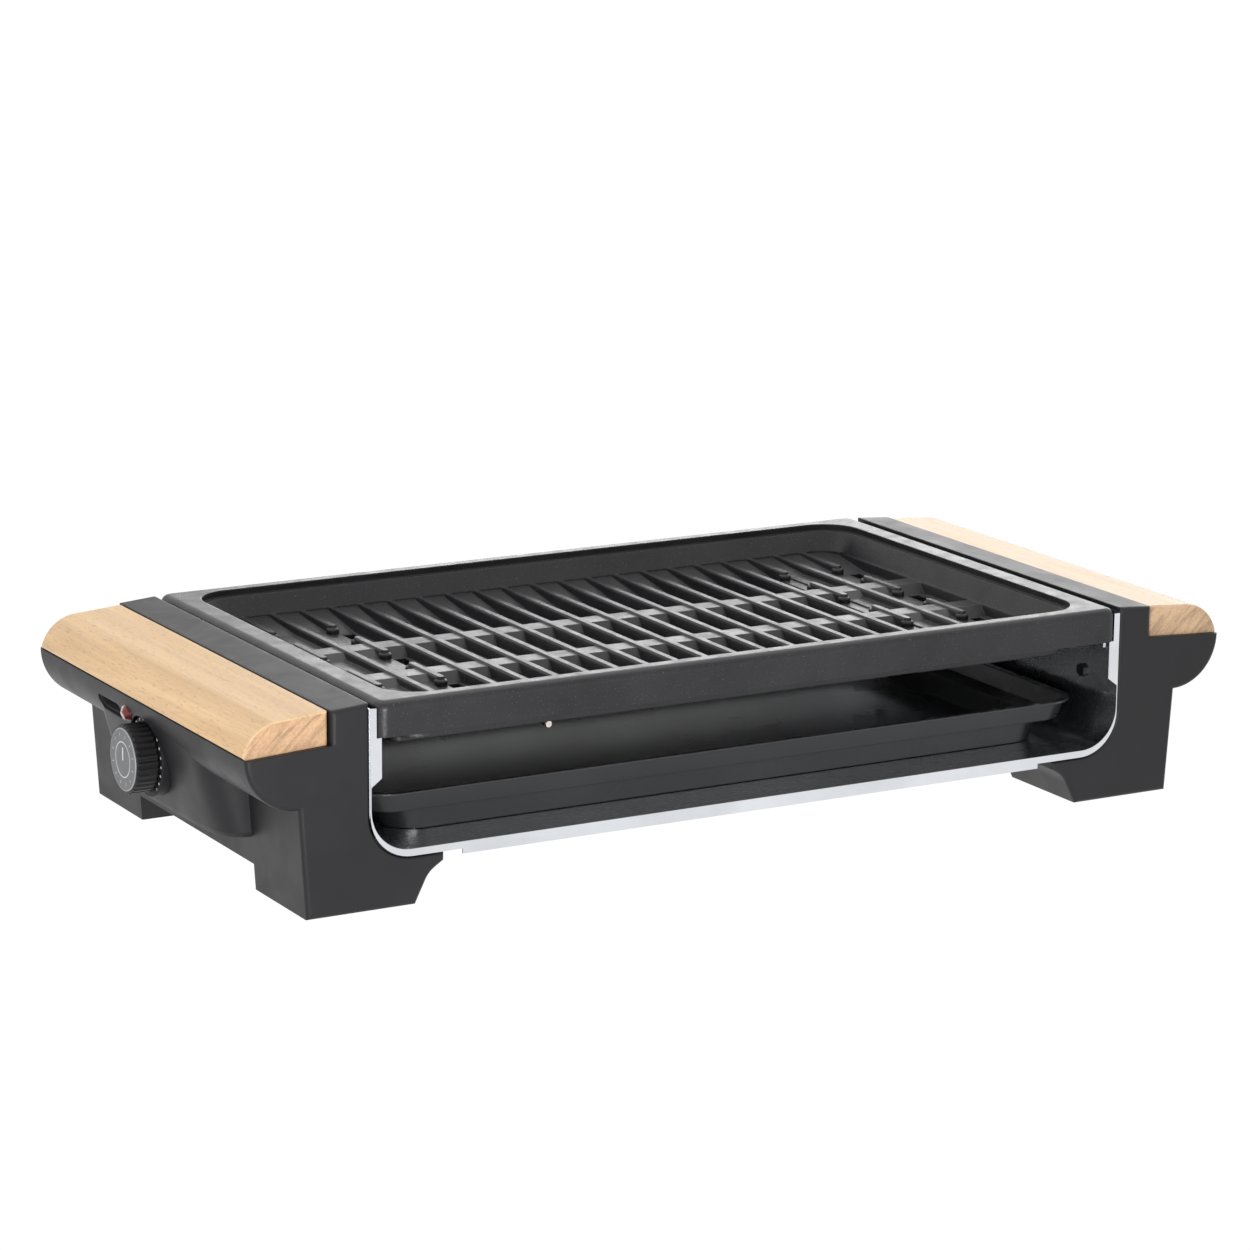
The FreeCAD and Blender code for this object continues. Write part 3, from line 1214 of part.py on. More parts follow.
# ---------------------------------------------------------------- the whole grill
def build():
    """Every piece by name, in the symmetric frame."""
    shapes = {
        "right_housing": right_housing(),
        "left_housing": left_housing(),
        "right_base_cover": base_cover(),
        "left_base_cover": to_left(base_cover()),
        "right_wood_handle": wood_handle(),
        "left_wood_handle": to_left(wood_handle()),
        "right_plate_rail": plate_rail(),
        "left_plate_rail": to_left(plate_rail()),
        "base_cover_screws": cover_screws(),
        "handle_screws": handle_screws(),
        "pan_screws": pan_screws(),
        "rubber_feet": foot_pads(),
        "steel_pan": steel_pan(),
        "rear_panel": rear_panel(),
        "drip_tray": drip_tray(),
        "grill_plate": grill_plate(),
        "heating_element": heating_element(),
        "element_terminal_bracket": terminal_bracket(),
        "element_far_bracket": far_bracket(),
        "sensor_bulb": sensor_bulb(),
        "thermostat": thermostat(),
        "thermostat_nut": thermostat_nut(),
        "thermostat_spindle": thermostat_spindle(),
        "dial_ring": dial_ring(),
        "knob": knob(),
        "knob_cap": knob_cap(),
        "pilot_lamp_body": pilot_lamp_body(),
        "pilot_lamp_lens": pilot_lamp_lens(),
        "cord_gland": cord_gland(),
        "terminal_block": terminal_block(),
        "thermal_fuse": thermal_fuse(),
    }
    shapes.update(wires())
    return shapes


os.makedirs("parts", exist_ok=True)
for name, shape in build().items():
    shape.translate(V(FRAME_SHIFT, 0, 0))
    shape.exportStep("parts/" + name + ".step")
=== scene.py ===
"""Finish of the tabletop grill: materials, small trim, studio and camera, in metres, in the CAD frame."""

import math

import bpy
import numpy as np
from mathutils import Matrix, Vector


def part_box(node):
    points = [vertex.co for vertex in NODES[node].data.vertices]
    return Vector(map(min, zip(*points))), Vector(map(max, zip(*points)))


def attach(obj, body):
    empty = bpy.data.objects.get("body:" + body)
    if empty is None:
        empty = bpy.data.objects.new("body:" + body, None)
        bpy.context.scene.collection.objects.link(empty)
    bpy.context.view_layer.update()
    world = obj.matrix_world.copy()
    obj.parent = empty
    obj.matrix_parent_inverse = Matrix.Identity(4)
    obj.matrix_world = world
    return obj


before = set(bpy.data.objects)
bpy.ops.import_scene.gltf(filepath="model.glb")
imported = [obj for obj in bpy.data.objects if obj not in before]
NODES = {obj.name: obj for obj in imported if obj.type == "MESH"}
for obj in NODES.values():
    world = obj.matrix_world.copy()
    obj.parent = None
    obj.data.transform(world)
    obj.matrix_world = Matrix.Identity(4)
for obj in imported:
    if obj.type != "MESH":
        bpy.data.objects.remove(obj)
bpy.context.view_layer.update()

FULL_TURN = 2.0 * math.pi


# ---------------------------------------------------------------- material helpers
class Finish:
    """A Principled material and short ways to feed its sockets."""

    def __init__(self, name, roughness, metallic=0.0, specular=0.5, coat=0.0, coat_roughness=0.03):
        self.material = bpy.data.materials.new(name)
        self.material.use_nodes = True
        self.tree = self.material.node_tree
        self.surface = self.tree.nodes["Principled BSDF"]
        self.surface.inputs["Roughness"].default_value = roughness
        self.surface.inputs["Metallic"].default_value = metallic
        self.surface.inputs["Specular IOR Level"].default_value = specular
        self.surface.inputs["Coat Weight"].default_value = coat
        self.surface.inputs["Coat Roughness"].default_value = coat_roughness
        self.place = self.node("ShaderNodeTexCoord").outputs["Object"]

    def node(self, kind, **settings):
        """New node of a kind, with its settings."""
        made = self.tree.nodes.new(kind)
        for key, value in settings.items():
            setattr(made, key, value)
        return made

    def link(self, out, socket):
        self.tree.links.new(out, socket)

    def feed(self, socket, out):
        """Link an output to a named socket of the surface."""
        self.link(out, self.surface.inputs[socket])

    def stretched(self, scale, turn=(0.0, 0.0, 0.0), shift=(0.0, 0.0, 0.0), source=None):
        """Object coordinates, or source, stretched and then turned, so a pattern runs along the piece."""
        mapping = self.node("ShaderNodeMapping")
        mapping.inputs["Scale"].default_value = scale
        mapping.inputs["Rotation"].default_value = turn
        mapping.inputs["Location"].default_value = shift
        self.link(source or self.place, mapping.inputs["Vector"])
        return mapping.outputs["Vector"]

    def noise(self, vector, scale, detail=2.0, rough=0.5, distortion=0.0):
        """Cloudy noise, from 0 to 1."""
        made = self.node("ShaderNodeTexNoise")
        made.inputs["Scale"].default_value = scale
        made.inputs["Detail"].default_value = detail
        made.inputs["Roughness"].default_value = rough
        made.inputs["Distortion"].default_value = distortion
        self.link(vector, made.inputs["Vector"])
        return made.outputs["Fac"]

    def cells(self, vector, scale):
        """Distance to the nearest cell's middle."""
        made = self.node("ShaderNodeTexVoronoi")
        made.inputs["Scale"].default_value = scale
        self.link(vector, made.inputs["Vector"])
        return made.outputs["Distance"]

    def ramp(self, fac, stops):
        """Colour ramp with stops (position, colour or grey)."""
        made = self.node("ShaderNodeValToRGB")
        elements = made.color_ramp.elements
        while len(elements) < len(stops):
            elements.new(0.5)
        for element, (position, colour) in zip(elements, stops):
            element.position = position
            if not isinstance(colour, tuple):
                colour = (colour, colour, colour)
            element.color = (*colour, 1.0)
        self.link(fac, made.inputs["Fac"])
        return made.outputs["Color"]

    def spread(self, fac, low, high, from_low=0.3, from_high=0.7):
        """Grey value mapped to a range."""
        made = self.node("ShaderNodeMapRange")
        made.inputs["From Min"].default_value = from_low
        made.inputs["From Max"].default_value = from_high
        made.inputs["To Min"].default_value = low
        made.inputs["To Max"].default_value = high
        self.link(fac, made.inputs["Value"])
        return made.outputs["Result"]

    def blend(self, fac, first, second, mode="MIX"):
        """Mix of two colours; fac, first and second are outputs or constants."""
        made = self.node("ShaderNodeMix", data_type="RGBA", blend_type=mode)
        for value, socket in ((fac, made.inputs[0]), (first, made.inputs[6]), (second, made.inputs[7])):
            if isinstance(value, bpy.types.NodeSocket):
                self.link(value, socket)
            elif isinstance(value, tuple):
                socket.default_value = (*value, 1.0)
            else:
                socket.default_value = value
        return made.outputs[2]

    def calc(self, first, second, operation="ADD"):
        """Arithmetic on two outputs or constants."""
        made = self.node("ShaderNodeMath", operation=operation)
        for value, socket in ((first, made.inputs[0]), (second, made.inputs[1])):
            if isinstance(value, bpy.types.NodeSocket):
                self.link(value, socket)
            else:
                socket.default_value = value
        return made.outputs["Value"]

    def relief(self, height, depth, strength=1.0):
        """Bump of a depth in metres, stacked on any bump made before."""
        bump = self.node("ShaderNodeBump")
        bump.inputs["Strength"].default_value = strength
        bump.inputs["Distance"].default_value = depth
        self.link(height, bump.inputs["Height"])
        previous = self.surface.inputs["Normal"]
        if previous.is_linked:
            self.link(previous.links[0].from_socket, bump.inputs["Normal"])
        self.feed("Normal", bump.outputs["Normal"])

    def soften(self, radius):
        """Rounded look of sharp edges; called before any relief."""
        bevel = self.node("ShaderNodeBevel", samples=4)
        bevel.inputs["Radius"].default_value = radius
        self.feed("Normal", bevel.outputs["Normal"])

    def axes(self):
        """The three object coordinates, in metres."""
        parts = self.node("ShaderNodeSeparateXYZ")
        self.link(self.place, parts.inputs["Vector"])
        return parts.outputs["X"], parts.outputs["Y"], parts.outputs["Z"]

    def polar(self, height):
        """Distance from the knob's axis in metres, and angle about it in turns, 0 straight up."""
        side, tall = self.axes()[1:]
        rise = self.calc(tall, height, "SUBTRACT")
        squares = self.calc(self.calc(side, side, "MULTIPLY"), self.calc(rise, rise, "MULTIPLY"))
        turns = self.calc(self.calc(side, rise, "ARCTAN2"), 1.0 / FULL_TURN, "MULTIPLY")
        return self.calc(squares, 0.5, "POWER"), turns

    def repeat(self, turns, count):
        """Place within each of count equal shares of a turn, from -0.5 to 0.5."""
        share = self.calc(self.calc(turns, count, "MULTIPLY"), 1.0, "FLOORED_MODULO")
        return self.calc(share, 0.5, "SUBTRACT")

    def band(self, value, middle, half, soft=0.0001):
        """1 where value lies within half of middle, 0 outside, with a soft edge."""
        off = self.calc(self.calc(value, middle, "SUBTRACT"), 0.0, "ABSOLUTE")
        return self.spread(off, 1.0, 0.0, half - soft, half + soft)

    def axis_of_normal(self, axis):
        """How squarely the surface faces along an axis of the object, from -1 to 1."""
        normal = self.node("ShaderNodeTexCoord").outputs["Normal"]
        parts = self.node("ShaderNodeSeparateXYZ")
        self.link(normal, parts.inputs["Vector"])
        return parts.outputs[axis]


# ---------------------------------------------------------------- finishes
def satin_plastic(name, colour, roughness, specular=0.30):
    """Moulded plastic with a fine spark-eroded grain, faint flow clouds and a soft sheen."""
    finish = Finish(name, roughness, specular=specular)
    finish.soften(0.0012)
    clouds = finish.noise(finish.place, 14.0, 3.0, 0.6)
    darker = tuple(channel * 0.82 for channel in colour)
    lighter = tuple(channel * 1.22 for channel in colour)
    finish.feed("Base Color", finish.ramp(clouds, [(0.3, darker), (0.7, lighter)]))
    smears = finish.noise(finish.place, 55.0, 2.0, 0.5, 0.6)
    finish.feed("Roughness", finish.spread(smears, roughness - 0.04, roughness + 0.05))
    finish.relief(finish.noise(finish.place, 2600.0, 2.0, 0.6), 0.00006, 0.35)
    return finish.material


RING_LEAN = 0.75                         # growth rings of the end grain, leaning in radians


def beech(name, colour_low, colour_high, end_colour, shift):
    """Clear-lacquered beech: soft growth bands, short ray flecks, slanting end grain, and a painted shadow
    on faces that look down.
    """
    finish = Finish(name, 0.42, specular=0.4)
    finish.soften(0.0008)
    bands = finish.noise(finish.stretched((34.0, 2.2, 48.0), (0.0, 0.0, 0.03), shift), 1.0, 3.0, 0.55, 0.9)
    fibres = finish.noise(finish.stretched((420.0, 9.0, 420.0), (0.0, 0.0, 0.015), shift), 1.0, 3.0, 0.6)
    flecks = finish.noise(finish.stretched((1500.0, 170.0, 1500.0), shift=shift), 1.0, 1.0, 0.5)
    side = finish.ramp(bands, [(0.3, colour_low), (0.5, colour_high), (0.72, colour_low)])
    fibre_tone = finish.ramp(fibres, [(0.3, 0.86), (0.7, 1.06)])
    side = finish.blend(1.0, side, fibre_tone, "MULTIPLY")
    fleck_tone = finish.ramp(flecks, [(0.60, 1.0), (0.68, 0.80)])
    side = finish.blend(1.0, side, fleck_tone, "MULTIPLY")
    leaning = finish.stretched((1.0, 1.0, 1.0), (0.0, RING_LEAN, 0.0))
    thin_rings = finish.stretched((60.0, 2.0, 420.0), shift=shift, source=leaning)
    rings = finish.noise(thin_rings, 1.0, 3.0, 0.6, 0.5)
    pores = finish.noise(finish.stretched((900.0, 900.0, 900.0), shift=shift), 1.0, 1.0)
    end_dark = tuple(channel * 0.74 for channel in end_colour)
    end_pale = tuple(channel * 1.22 for channel in end_colour)
    end = finish.ramp(rings, [(0.32, end_dark), (0.6, end_pale)])
    end = finish.blend(1.0, end, finish.ramp(pores, [(0.4, 0.90), (0.6, 1.04)]), "MULTIPLY")
    facing = finish.axis_of_normal("Y")
    facing = finish.calc(facing, facing, "MULTIPLY")
    mask = finish.ramp(facing, [(0.45, 0.0), (0.8, 1.0)])
    wood = finish.blend(mask, side, end)
    # Painted shadow: faces that look steeply down turn near black, standing in for the shadow line between
    # the wood and the housing.
    under = finish.spread(finish.axis_of_normal("Z"), 1.0, 0.0, -0.55, -0.42)
    finish.feed("Base Color", finish.blend(under, wood, (0.006, 0.005, 0.004)))
    finish.feed("Roughness", finish.spread(fibres, 0.36, 0.5))
    finish.relief(fibres, 0.00005, 0.5)
    finish.relief(flecks, 0.00004, 0.4)
    return finish.material


def rolled_steel(name, colour, roughness, along, metallic=1.0):
    """Bright rolled sheet with fine lines along one axis and faint smudges."""
    finish = Finish(name, roughness, metallic=metallic)
    fine = [2200.0, 2200.0, 2200.0]
    fine[along] = 30.0
    lines = finish.noise(finish.stretched(tuple(fine)), 1.0, 2.0, 0.6)
    smudge = finish.noise(finish.place, 26.0, 3.0, 0.6)
    darker = tuple(channel * 0.86 for channel in colour)
    finish.feed("Base Color", finish.ramp(smudge, [(0.3, darker), (0.7, colour)]))
    finish.feed("Roughness", finish.spread(lines, roughness - 0.03, roughness + 0.06))
    finish.relief(lines, 0.00001, 0.12)
    return finish.material


def black_enamel(name, colour, roughness):
    """Glossy enamel on thin sheet: slight orange peel and soft clouds, thickest on level faces."""
    finish = Finish(name, roughness, specular=0.5, coat=0.2, coat_roughness=0.12)
    finish.soften(0.0008)
    clouds = finish.noise(finish.place, 9.0, 2.0, 0.5)
    lighter = tuple(channel * 1.5 for channel in colour)
    finish.feed("Base Color", finish.ramp(clouds, [(0.35, colour), (0.75, lighter)]))
    level = finish.spread(finish.axis_of_normal("Z"), 0.2, 1.0, 0.9, 0.98)
    finish.feed("Coat Weight", level)
    film = finish.noise(finish.place, 16.0, 2.0, 0.5)
    finish.feed("Roughness", finish.spread(film, roughness - 0.015, roughness + 0.03))
    finish.relief(finish.noise(finish.place, 520.0, 1.0), 0.00005, 0.3)
    return finish.material


def nonstick_casting(name):
    """Cast aluminium under dark non-stick coating: pebbled skin and pale flecks, with a painted sheen that
    makes its upward faces paler.
    """
    finish = Finish(name, 0.38, specular=0.40)
    finish.soften(0.0010)
    clouds = finish.noise(finish.place, 20.0, 4.0, 0.6)
    base = finish.ramp(clouds, [(0.3, (0.007, 0.007, 0.0085)), (0.7, (0.017, 0.017, 0.0195))])
    fleck = finish.noise(finish.place, 1300.0, 1.0, 0.5)
    base = finish.blend(finish.ramp(fleck, [(0.67, 0.0), (0.75, 0.35)]), base, (0.16, 0.16, 0.165))
    # Painted sheen: upward faces are made paler, standing in for light catching the tops.
    painted_top_sheen = finish.spread(finish.axis_of_normal("Z"), 0.0, 1.0, 0.6, 0.97)
    finish.feed("Base Color", finish.blend(painted_top_sheen, base, (0.029, 0.029, 0.030)))
    patches = finish.noise(finish.place, 90.0, 3.0, 0.6)
    finish.feed("Roughness", finish.spread(patches, 0.27, 0.39))
    finish.relief(finish.noise(finish.place, 150.0, 2.0, 0.5), 0.0003, 0.25)
    finish.relief(finish.noise(finish.place, 850.0, 3.0, 0.6), 0.0002, 0.5)
    return finish.material


def heated_tube(name):
    """Steel-sheathed element: oxidised brown-grey with straw and blue heat bands."""
    finish = Finish(name, 0.42, metallic=0.85)
    bands = finish.noise(finish.stretched((16.0, 30.0, 30.0)), 1.0, 3.0, 0.6, 0.7)
    stops = [(0.3, (0.10, 0.085, 0.075)), (0.5, (0.20, 0.17, 0.15)), (0.7, (0.27, 0.22, 0.17))]
    finish.feed("Base Color", finish.ramp(bands, stops))
    speck = finish.noise(finish.place, 900.0, 2.0, 0.6)
    finish.feed("Roughness", finish.spread(speck, 0.34, 0.55))
    finish.relief(speck, 0.00005, 0.35)
    return finish.material


def plain_metal(name, colour, roughness):
    """Turned or plated small metal part with faint tooling marks."""
    finish = Finish(name, roughness, metallic=1.0)
    marks = finish.noise(finish.place, 700.0, 2.0, 0.6)
    darker = tuple(channel * 0.8 for channel in colour)
    finish.feed("Base Color", finish.ramp(marks, [(0.35, darker), (0.65, colour)]))
    finish.feed("Roughness", finish.spread(marks, roughness - 0.05, roughness + 0.08))
    finish.relief(marks, 0.00003, 0.3)
    return finish.material


def soft_rubber(name, colour):
    """Matte rubber with a dusty bloom."""
    finish = Finish(name, 0.78, specular=0.35)
    bloom = finish.noise(finish.place, 160.0, 3.0, 0.6)
    lighter = tuple(channel * 1.6 for channel in colour)
    finish.feed("Base Color", finish.ramp(bloom, [(0.35, colour), (0.75, lighter)]))
    finish.relief(finish.noise(finish.place, 1900.0, 2.0), 0.00006, 0.4)
    return finish.material


def woven_sleeve(name, colour):
    """Glass-fibre sleeve of the inner wires."""
    finish = Finish(name, 0.7, specular=0.3)
    weave = finish.cells(finish.place, 1500.0)
    darker = tuple(channel * 0.7 for channel in colour)
    finish.feed("Base Color", finish.ramp(weave, [(0.1, colour), (0.7, darker)]))
    finish.relief(weave, 0.00015, 0.5)
    return finish.material


def lamp_glass(name, painted_highlight, glass, middle):
    """Moulded dark red lens, with a painted cream highlight on the part behind its middle."""
    finish = Finish(name, 0.2, specular=0.5)
    side = finish.axes()[1]
    swirl = finish.noise(finish.place, 260.0, 2.0)
    wander = finish.calc(finish.calc(swirl, 0.5, "SUBTRACT"), 0.002, "MULTIPLY")
    # Painted highlight: behind the middle along Y, the lens turns cream.
    share = finish.spread(finish.calc(side, wander, "ADD"), 0.0, 1.0, middle - 0.0012, middle + 0.0012)
    finish.feed("Base Color", finish.blend(share, glass, painted_highlight))
    finish.surface.inputs["Subsurface Weight"].default_value = 0.2
    finish.surface.inputs["Subsurface Scale"].default_value = 0.002
    finish.feed("Roughness", finish.spread(swirl, 0.16, 0.26))
    finish.relief(swirl, 0.00004, 0.3)
    return finish.material


KNOB_AXIS_HEIGHT = 0.0531
LAMP_SIDE = 0.0165                       # middle of the lamp behind the knob's axis, where its painted highlight begins
DOT_COUNT = 25.0
DOT_CIRCLE_RADIUS = 0.0183
DOT_RANGE = 0.38                         # dots up to this share of a turn, either way from the top
CAP_RIM_RADIUS = 0.0151
CAP_RING_RADIUS = 0.0086
TICK_COUNT = 12.0
TICK_RADIUS = 0.0121
TICK_HALF_LENGTH = 0.0009
POINTER_MIDDLE = 0.0028                  # above the knob's axis
POINTER_HALF_LENGTH = 0.0032
POINTER_HALF_WIDTH = 0.00055


def scale_face(name, colour):
    """Dial drum: black plastic with a row of white dots along the rim of its front face."""
    finish = Finish(name, 0.5, specular=0.2)
    finish.soften(0.0004)
    distance, turns = finish.polar(KNOB_AXIS_HEIGHT)
    pitch = FULL_TURN * DOT_CIRCLE_RADIUS / DOT_COUNT
    along = finish.calc(finish.repeat(turns, DOT_COUNT), pitch, "MULTIPLY")
    out = finish.calc(distance, DOT_CIRCLE_RADIUS, "SUBTRACT")
    squares = finish.calc(finish.calc(along, along, "MULTIPLY"), finish.calc(out, out, "MULTIPLY"))
    dot = finish.spread(finish.calc(squares, 0.5, "POWER"), 1.0, 0.0, 0.00055, 0.0008)
    turned = finish.calc(turns, 0.0, "ABSOLUTE")
    in_range = finish.spread(turned, 1.0, 0.0, DOT_RANGE - 0.001, DOT_RANGE + 0.001)
    dot = finish.calc(dot, in_range, "MULTIPLY")
    clouds = finish.noise(finish.place, 60.0, 2.0, 0.5)
    lighter = tuple(channel * 1.3 for channel in colour)
    base = finish.ramp(clouds, [(0.3, colour), (0.7, lighter)])
    finish.feed("Base Color", finish.blend(dot, base, (0.52, 0.52, 0.52)))
    finish.relief(finish.noise(finish.place, 2600.0, 2.0, 0.6), 0.00005, 0.3)
    return finish.material


def cap_face(name):
    """Satin disc on the knob: printed rings, tick marks and a pointer, with fine turned lines."""
    finish = Finish(name, 0.42, metallic=0.6, specular=0.5)
    finish.soften(0.0003)
    distance, turns = finish.polar(KNOB_AXIS_HEIGHT)
    rim = finish.calc(finish.band(distance, CAP_RIM_RADIUS, 0.0003), 0.35, "MULTIPLY")
    ring = finish.band(distance, CAP_RING_RADIUS, 0.00022)
    tick_width = finish.band(finish.repeat(turns, TICK_COUNT), 0.0, 0.022, 0.006)
    tick_length = finish.band(distance, TICK_RADIUS, TICK_HALF_LENGTH)
    tick = finish.calc(tick_width, tick_length, "MULTIPLY")
    side, tall = finish.axes()[1:]
    rise = finish.calc(tall, KNOB_AXIS_HEIGHT, "SUBTRACT")
    pointer_width = finish.band(side, 0.0, POINTER_HALF_WIDTH)
    pointer_length = finish.band(rise, POINTER_MIDDLE, POINTER_HALF_LENGTH)
    pointer = finish.calc(pointer_width, pointer_length, "MULTIPLY")
    circles = finish.calc(rim, ring, "MAXIMUM")
    marks = finish.calc(tick, pointer, "MAXIMUM")
    print_mask = finish.calc(circles, marks, "MAXIMUM")
    turned = finish.noise(finish.place, 180.0, 3.0, 0.6)
    base = finish.ramp(turned, [(0.3, (0.13, 0.134, 0.138)), (0.7, (0.18, 0.184, 0.188))])
    finish.feed("Base Color", finish.blend(print_mask, base, (0.72, 0.72, 0.73)))
    finish.feed("Roughness", finish.spread(turned, 0.36, 0.5))
    waves = finish.calc(finish.calc(distance, 5200.0, "MULTIPLY"), 0.0, "SINE")
    lines = finish.spread(waves, 0.0, 1.0, -1.0, 1.0)
    finish.relief(lines, 0.000006, 0.3)
    return finish.material


# ---------------------------------------------------------------- finish of every CAD piece
def finish_nodes():
    """One finish on every CAD piece; gives back the plate's coating for the small cast details."""
    housing = satin_plastic("housing_satin_black", (0.0105, 0.0105, 0.0120), 0.42)
    cover = satin_plastic("cover_matte_black", (0.016, 0.016, 0.017), 0.55)
    knob_black = satin_plastic("knob_black", (0.008, 0.008, 0.009), 0.36)
    pale_case = satin_plastic("switch_case_cream", (0.62, 0.58, 0.48), 0.4)
    left_wood = beech("beech_left", (0.585, 0.372, 0.188), (0.70, 0.478, 0.265), (0.41, 0.255, 0.145),
                      (0.0, 0.0, 0.0))
    right_wood = beech("beech_right", (0.54, 0.37, 0.22), (0.64, 0.475, 0.305), (0.47, 0.315, 0.19),
                       (3.1, 0.7, 1.9))
    steel = rolled_steel("pan_bright_steel", (0.74, 0.76, 0.79), 0.22, 0)
    panel = rolled_steel("panel_matt_steel", (0.78, 0.79, 0.80), 0.5, 0, metallic=0.2)
    rails = rolled_steel("rail_bright_steel", (0.70, 0.72, 0.75), 0.26, 1)
    blackened = plain_metal("blackened_zinc", (0.05, 0.05, 0.053), 0.5)
    plated = plain_metal("zinc_plate", (0.62, 0.63, 0.65), 0.28)
    brass = plain_metal("turned_brass", (0.72, 0.55, 0.28), 0.3)
    copper = plain_metal("bulb_copper_nickel", (0.78, 0.70, 0.62), 0.22)
    rubber = soft_rubber("black_rubber", (0.018, 0.018, 0.018))
    sleeve = woven_sleeve("wire_sleeve", (0.72, 0.70, 0.64))
    lens = lamp_glass("lamp_red_painted_highlight", (0.72, 0.62, 0.54), (0.13, 0.018, 0.014), LAMP_SIDE)
    coating = nonstick_casting("plate_nonstick")
    by_material = {
        housing: ["left_housing", "right_housing"],
        cover: ["left_base_cover", "right_base_cover", "pilot_lamp_body"],
        knob_black: ["knob"],
        scale_face("dial_black_dotted", (0.007, 0.007, 0.008)): ["dial_ring"],
        pale_case: ["thermostat", "terminal_block"],
        left_wood: ["left_wood_handle"],
        right_wood: ["right_wood_handle"],
        steel: ["steel_pan"],
        panel: ["rear_panel"],
        rails: ["left_plate_rail", "right_plate_rail", "element_terminal_bracket", "element_far_bracket"],
        plated: ["base_cover_screws", "handle_screws", "thermostat_nut", "thermal_fuse"],
        blackened: ["pan_screws"],
        brass: ["thermostat_spindle"],
        cap_face("knob_cap_printed"): ["knob_cap"],
        copper: ["sensor_bulb"],
        rubber: ["rubber_feet", "cord_gland"],
        sleeve: ["wire_block_to_thermostat", "wire_thermostat_to_element", "wire_element_to_fuse",
                 "wire_fuse_to_block"],
        black_enamel("tray_black_enamel", (0.012, 0.0125, 0.014), 0.26): ["drip_tray"],
        coating: ["grill_plate"],
        heated_tube("element_heated_steel"): ["heating_element"],
        lens: ["pilot_lamp_lens"],
    }
    for material, names in by_material.items():
        for name in names:
            mesh = NODES[name].data
            mesh.materials.clear()
            mesh.materials.append(material)
    return coating


# ---------------------------------------------------------------- small cast details of the plate
RIB_PITCH = 0.0168
STUD_TOP_HEIGHT = 0.0861
STUD_FOOT_HEIGHT = 0.0815
SHORT_RIBS = (8, 10)                     # counted from the middle rib, both ways
SHORT_RIB_ENDS = (0.015, 0.046, 0.075)   # from the middle of the plate, both ways
STUD_RADIUS = 0.0033
STUD_ROUND = 0.0014
STUD_SEGMENTS = 28
STUD_STEPS = 6


def stud_profile():
    """Radius and height from the foot up: an upright wall, then a quarter circle over to the flat top."""
    turn = np.linspace(0.0, math.pi / 2, STUD_STEPS)
    radius = STUD_RADIUS - STUD_ROUND * (1.0 - np.cos(turn))
    height = STUD_TOP_HEIGHT - STUD_ROUND * (1.0 - np.sin(turn))
    return np.append(STUD_RADIUS, radius), np.append(STUD_FOOT_HEIGHT, height)


def rib_end_studs(coating):
    """Round studs that end the short ribs: one profile turned about an upright axis at every rib end.

    A point of a stud is (x + r cos a, y + r sin a, h), with r and h from the profile and a going round
    in equal steps; one flat face closes the foot and one the top.
    """
    plate_middle = sum(corner[0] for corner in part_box("grill_plate")) / 2
    ribs = np.array(SHORT_RIBS) * RIB_PITCH
    columns = plate_middle + np.concatenate([-ribs, ribs])
    ends = np.array(SHORT_RIB_ENDS)
    rows = np.concatenate([-ends, ends])
    centre_x, centre_y = (grid.ravel() for grid in np.meshgrid(columns, rows))
    radius, height = stud_profile()
    angle = np.arange(STUD_SEGMENTS) * FULL_TURN / STUD_SEGMENTS
    x = centre_x[:, None, None] + radius[None, :, None] * np.cos(angle)[None, None, :]
    y = centre_y[:, None, None] + radius[None, :, None] * np.sin(angle)[None, None, :]
    z = np.broadcast_to(height[None, :, None], x.shape)
    points = np.stack([x, y, z], axis=-1).reshape(-1, 3)
    index = np.arange(points.shape[0]).reshape(x.shape)
    onward = np.roll(index, -1, axis=2)
    quads = np.stack([index[:, :-1], onward[:, :-1], onward[:, 1:], index[:, 1:]], axis=-1).reshape(-1, 4)
    feet = index[:, 0, ::-1]
    tops = index[:, -1, :]
    mesh = bpy.data.meshes.new("rib_end_studs")
    mesh.from_pydata(points.tolist(), [], quads.tolist() + feet.tolist() + tops.tolist())
    mesh.materials.append(coating)
    studs = bpy.data.objects.new("rib_end_studs", mesh)
    bpy.context.scene.collection.objects.link(studs)
    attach(studs, "grill_plate")


# ---------------------------------------------------------------- studio
FLOOR_REACH = 40.0
WHITE_LEVEL = 1.02                       # floor and world, just past white


def add_light(name, location, target, size, power):
    """Rectangular soft box that faces its target."""
    data = bpy.data.lights.new(name, "AREA")
    data.shape = "RECTANGLE"
    data.size = size[0]
    data.size_y = size[1]
    data.energy = power
    light = bpy.data.objects.new(name, data)
    light.location = location
    light.visible_camera = False
    light.rotation_euler = (Vector(target) - Vector(location)).to_track_quat("-Z", "Y").to_euler()
    bpy.context.scene.collection.objects.link(light)


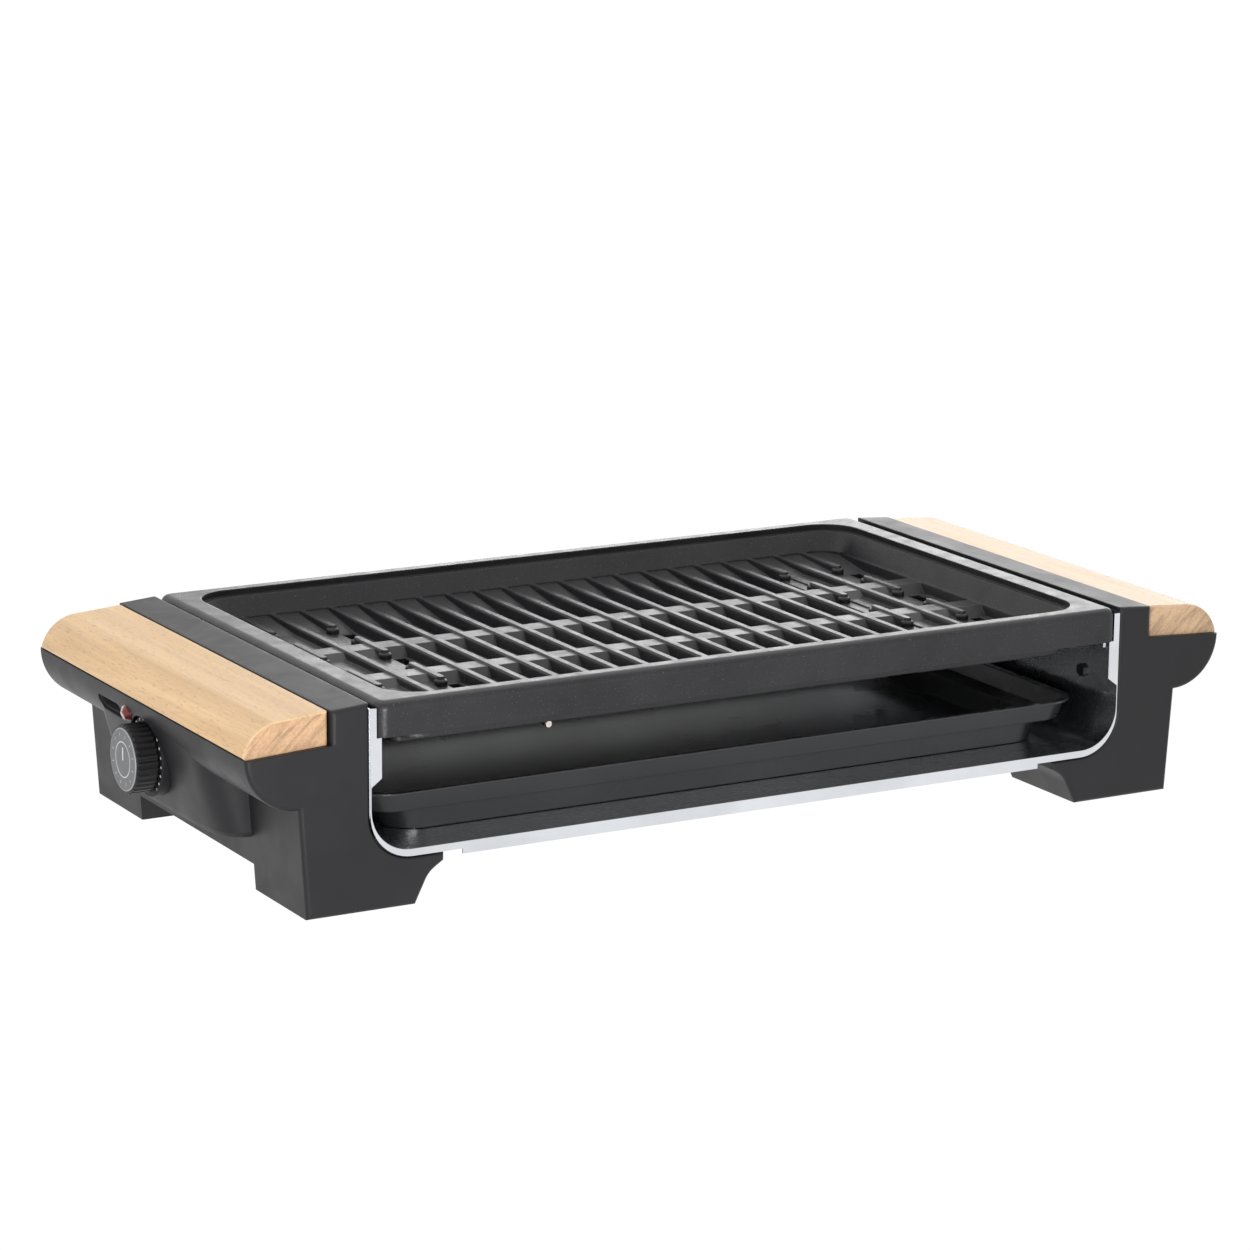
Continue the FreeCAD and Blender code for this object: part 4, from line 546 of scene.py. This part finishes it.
def studio():
    """White floor and world, large boxes overhead and behind, one at the left and two low in front."""
    mesh = bpy.data.meshes.new("studio_floor")
    near = -FLOOR_REACH
    far = FLOOR_REACH
    corners = [(near, near, 0.0), (far, near, 0.0), (far, far, 0.0), (near, far, 0.0)]
    mesh.from_pydata(corners, [], [(0, 1, 2, 3)])
    floor = bpy.data.objects.new("studio_floor", mesh)
    bpy.context.scene.collection.objects.link(floor)
    paper = bpy.data.materials.new("studio_paper")
    paper.use_nodes = True
    surface = paper.node_tree.nodes["Principled BSDF"]
    surface.inputs["Base Color"].default_value = (0.0, 0.0, 0.0, 1.0)
    surface.inputs["Specular IOR Level"].default_value = 0.0
    surface.inputs["Roughness"].default_value = 1.0
    surface.inputs["Emission Color"].default_value = (1.0, 1.0, 1.0, 1.0)
    surface.inputs["Emission Strength"].default_value = WHITE_LEVEL
    mesh.materials.append(paper)
    world = bpy.data.worlds.new("studio_world")
    world.use_nodes = True
    background = world.node_tree.nodes["Background"]
    background.inputs["Color"].default_value = (1.0, 1.0, 1.0, 1.0)
    background.inputs["Strength"].default_value = WHITE_LEVEL
    bpy.context.scene.world = world
    centre = (0.0, 0.0, 0.05)
    add_light("overhead_box", (0.1, 0.35, 1.7), centre, (2.2, 1.4), 6.0)
    add_light("back_box", (1.7, 2.0, 0.7), centre, (1.9, 0.7), 12.0)
    add_light("left_box", (-1.6, 0.1, 0.9), centre, (0.9, 0.9), 1.5)
    add_light("low_front_box", (-0.40, -0.66, 0.080), (-0.12, 0.1, 0.050), (0.24, 0.05), 2.8)
    add_light("low_right_box", (0.50, -1.20, 0.055), (-0.15, 0.1, 0.055), (0.35, 0.1), 0.3)


# ---------------------------------------------------------------- camera
CAMERA_PLACE = Vector((-1.0489, -1.8523, 0.5940))
CAMERA_AZIMUTH = math.radians(-29.468)
CAMERA_ELEVATION = math.radians(13.348)
CAMERA_ROLL = math.radians(0.476)
CAMERA_LENS = 124.22


def add_camera():
    """Level view turned by azimuth and elevation, then rolled about the line of sight."""
    back = Vector((math.sin(CAMERA_AZIMUTH) * math.cos(CAMERA_ELEVATION),
                   -math.cos(CAMERA_AZIMUTH) * math.cos(CAMERA_ELEVATION),
                   math.sin(CAMERA_ELEVATION)))
    level_right = Vector((0.0, 0.0, 1.0)).cross(back).normalized()
    level_up = back.cross(level_right)
    right = math.cos(CAMERA_ROLL) * level_right + math.sin(CAMERA_ROLL) * level_up
    up = math.cos(CAMERA_ROLL) * level_up - math.sin(CAMERA_ROLL) * level_right
    data = bpy.data.cameras.new("studio_camera")
    data.lens = CAMERA_LENS
    data.sensor_width = 36.0
    data.clip_start = 0.05
    data.clip_end = 100.0
    camera = bpy.data.objects.new("studio_camera", data)
    camera.matrix_world = Matrix.Translation(CAMERA_PLACE) @ Matrix((right, up, back)).transposed().to_4x4()
    bpy.context.scene.collection.objects.link(camera)
    bpy.context.scene.camera = camera


# ---------------------------------------------------------------- whole scene
add_camera()
studio()
bpy.context.scene.view_settings.view_transform = "Standard"
rib_end_studs(finish_nodes())

bpy.context.view_layer.update()
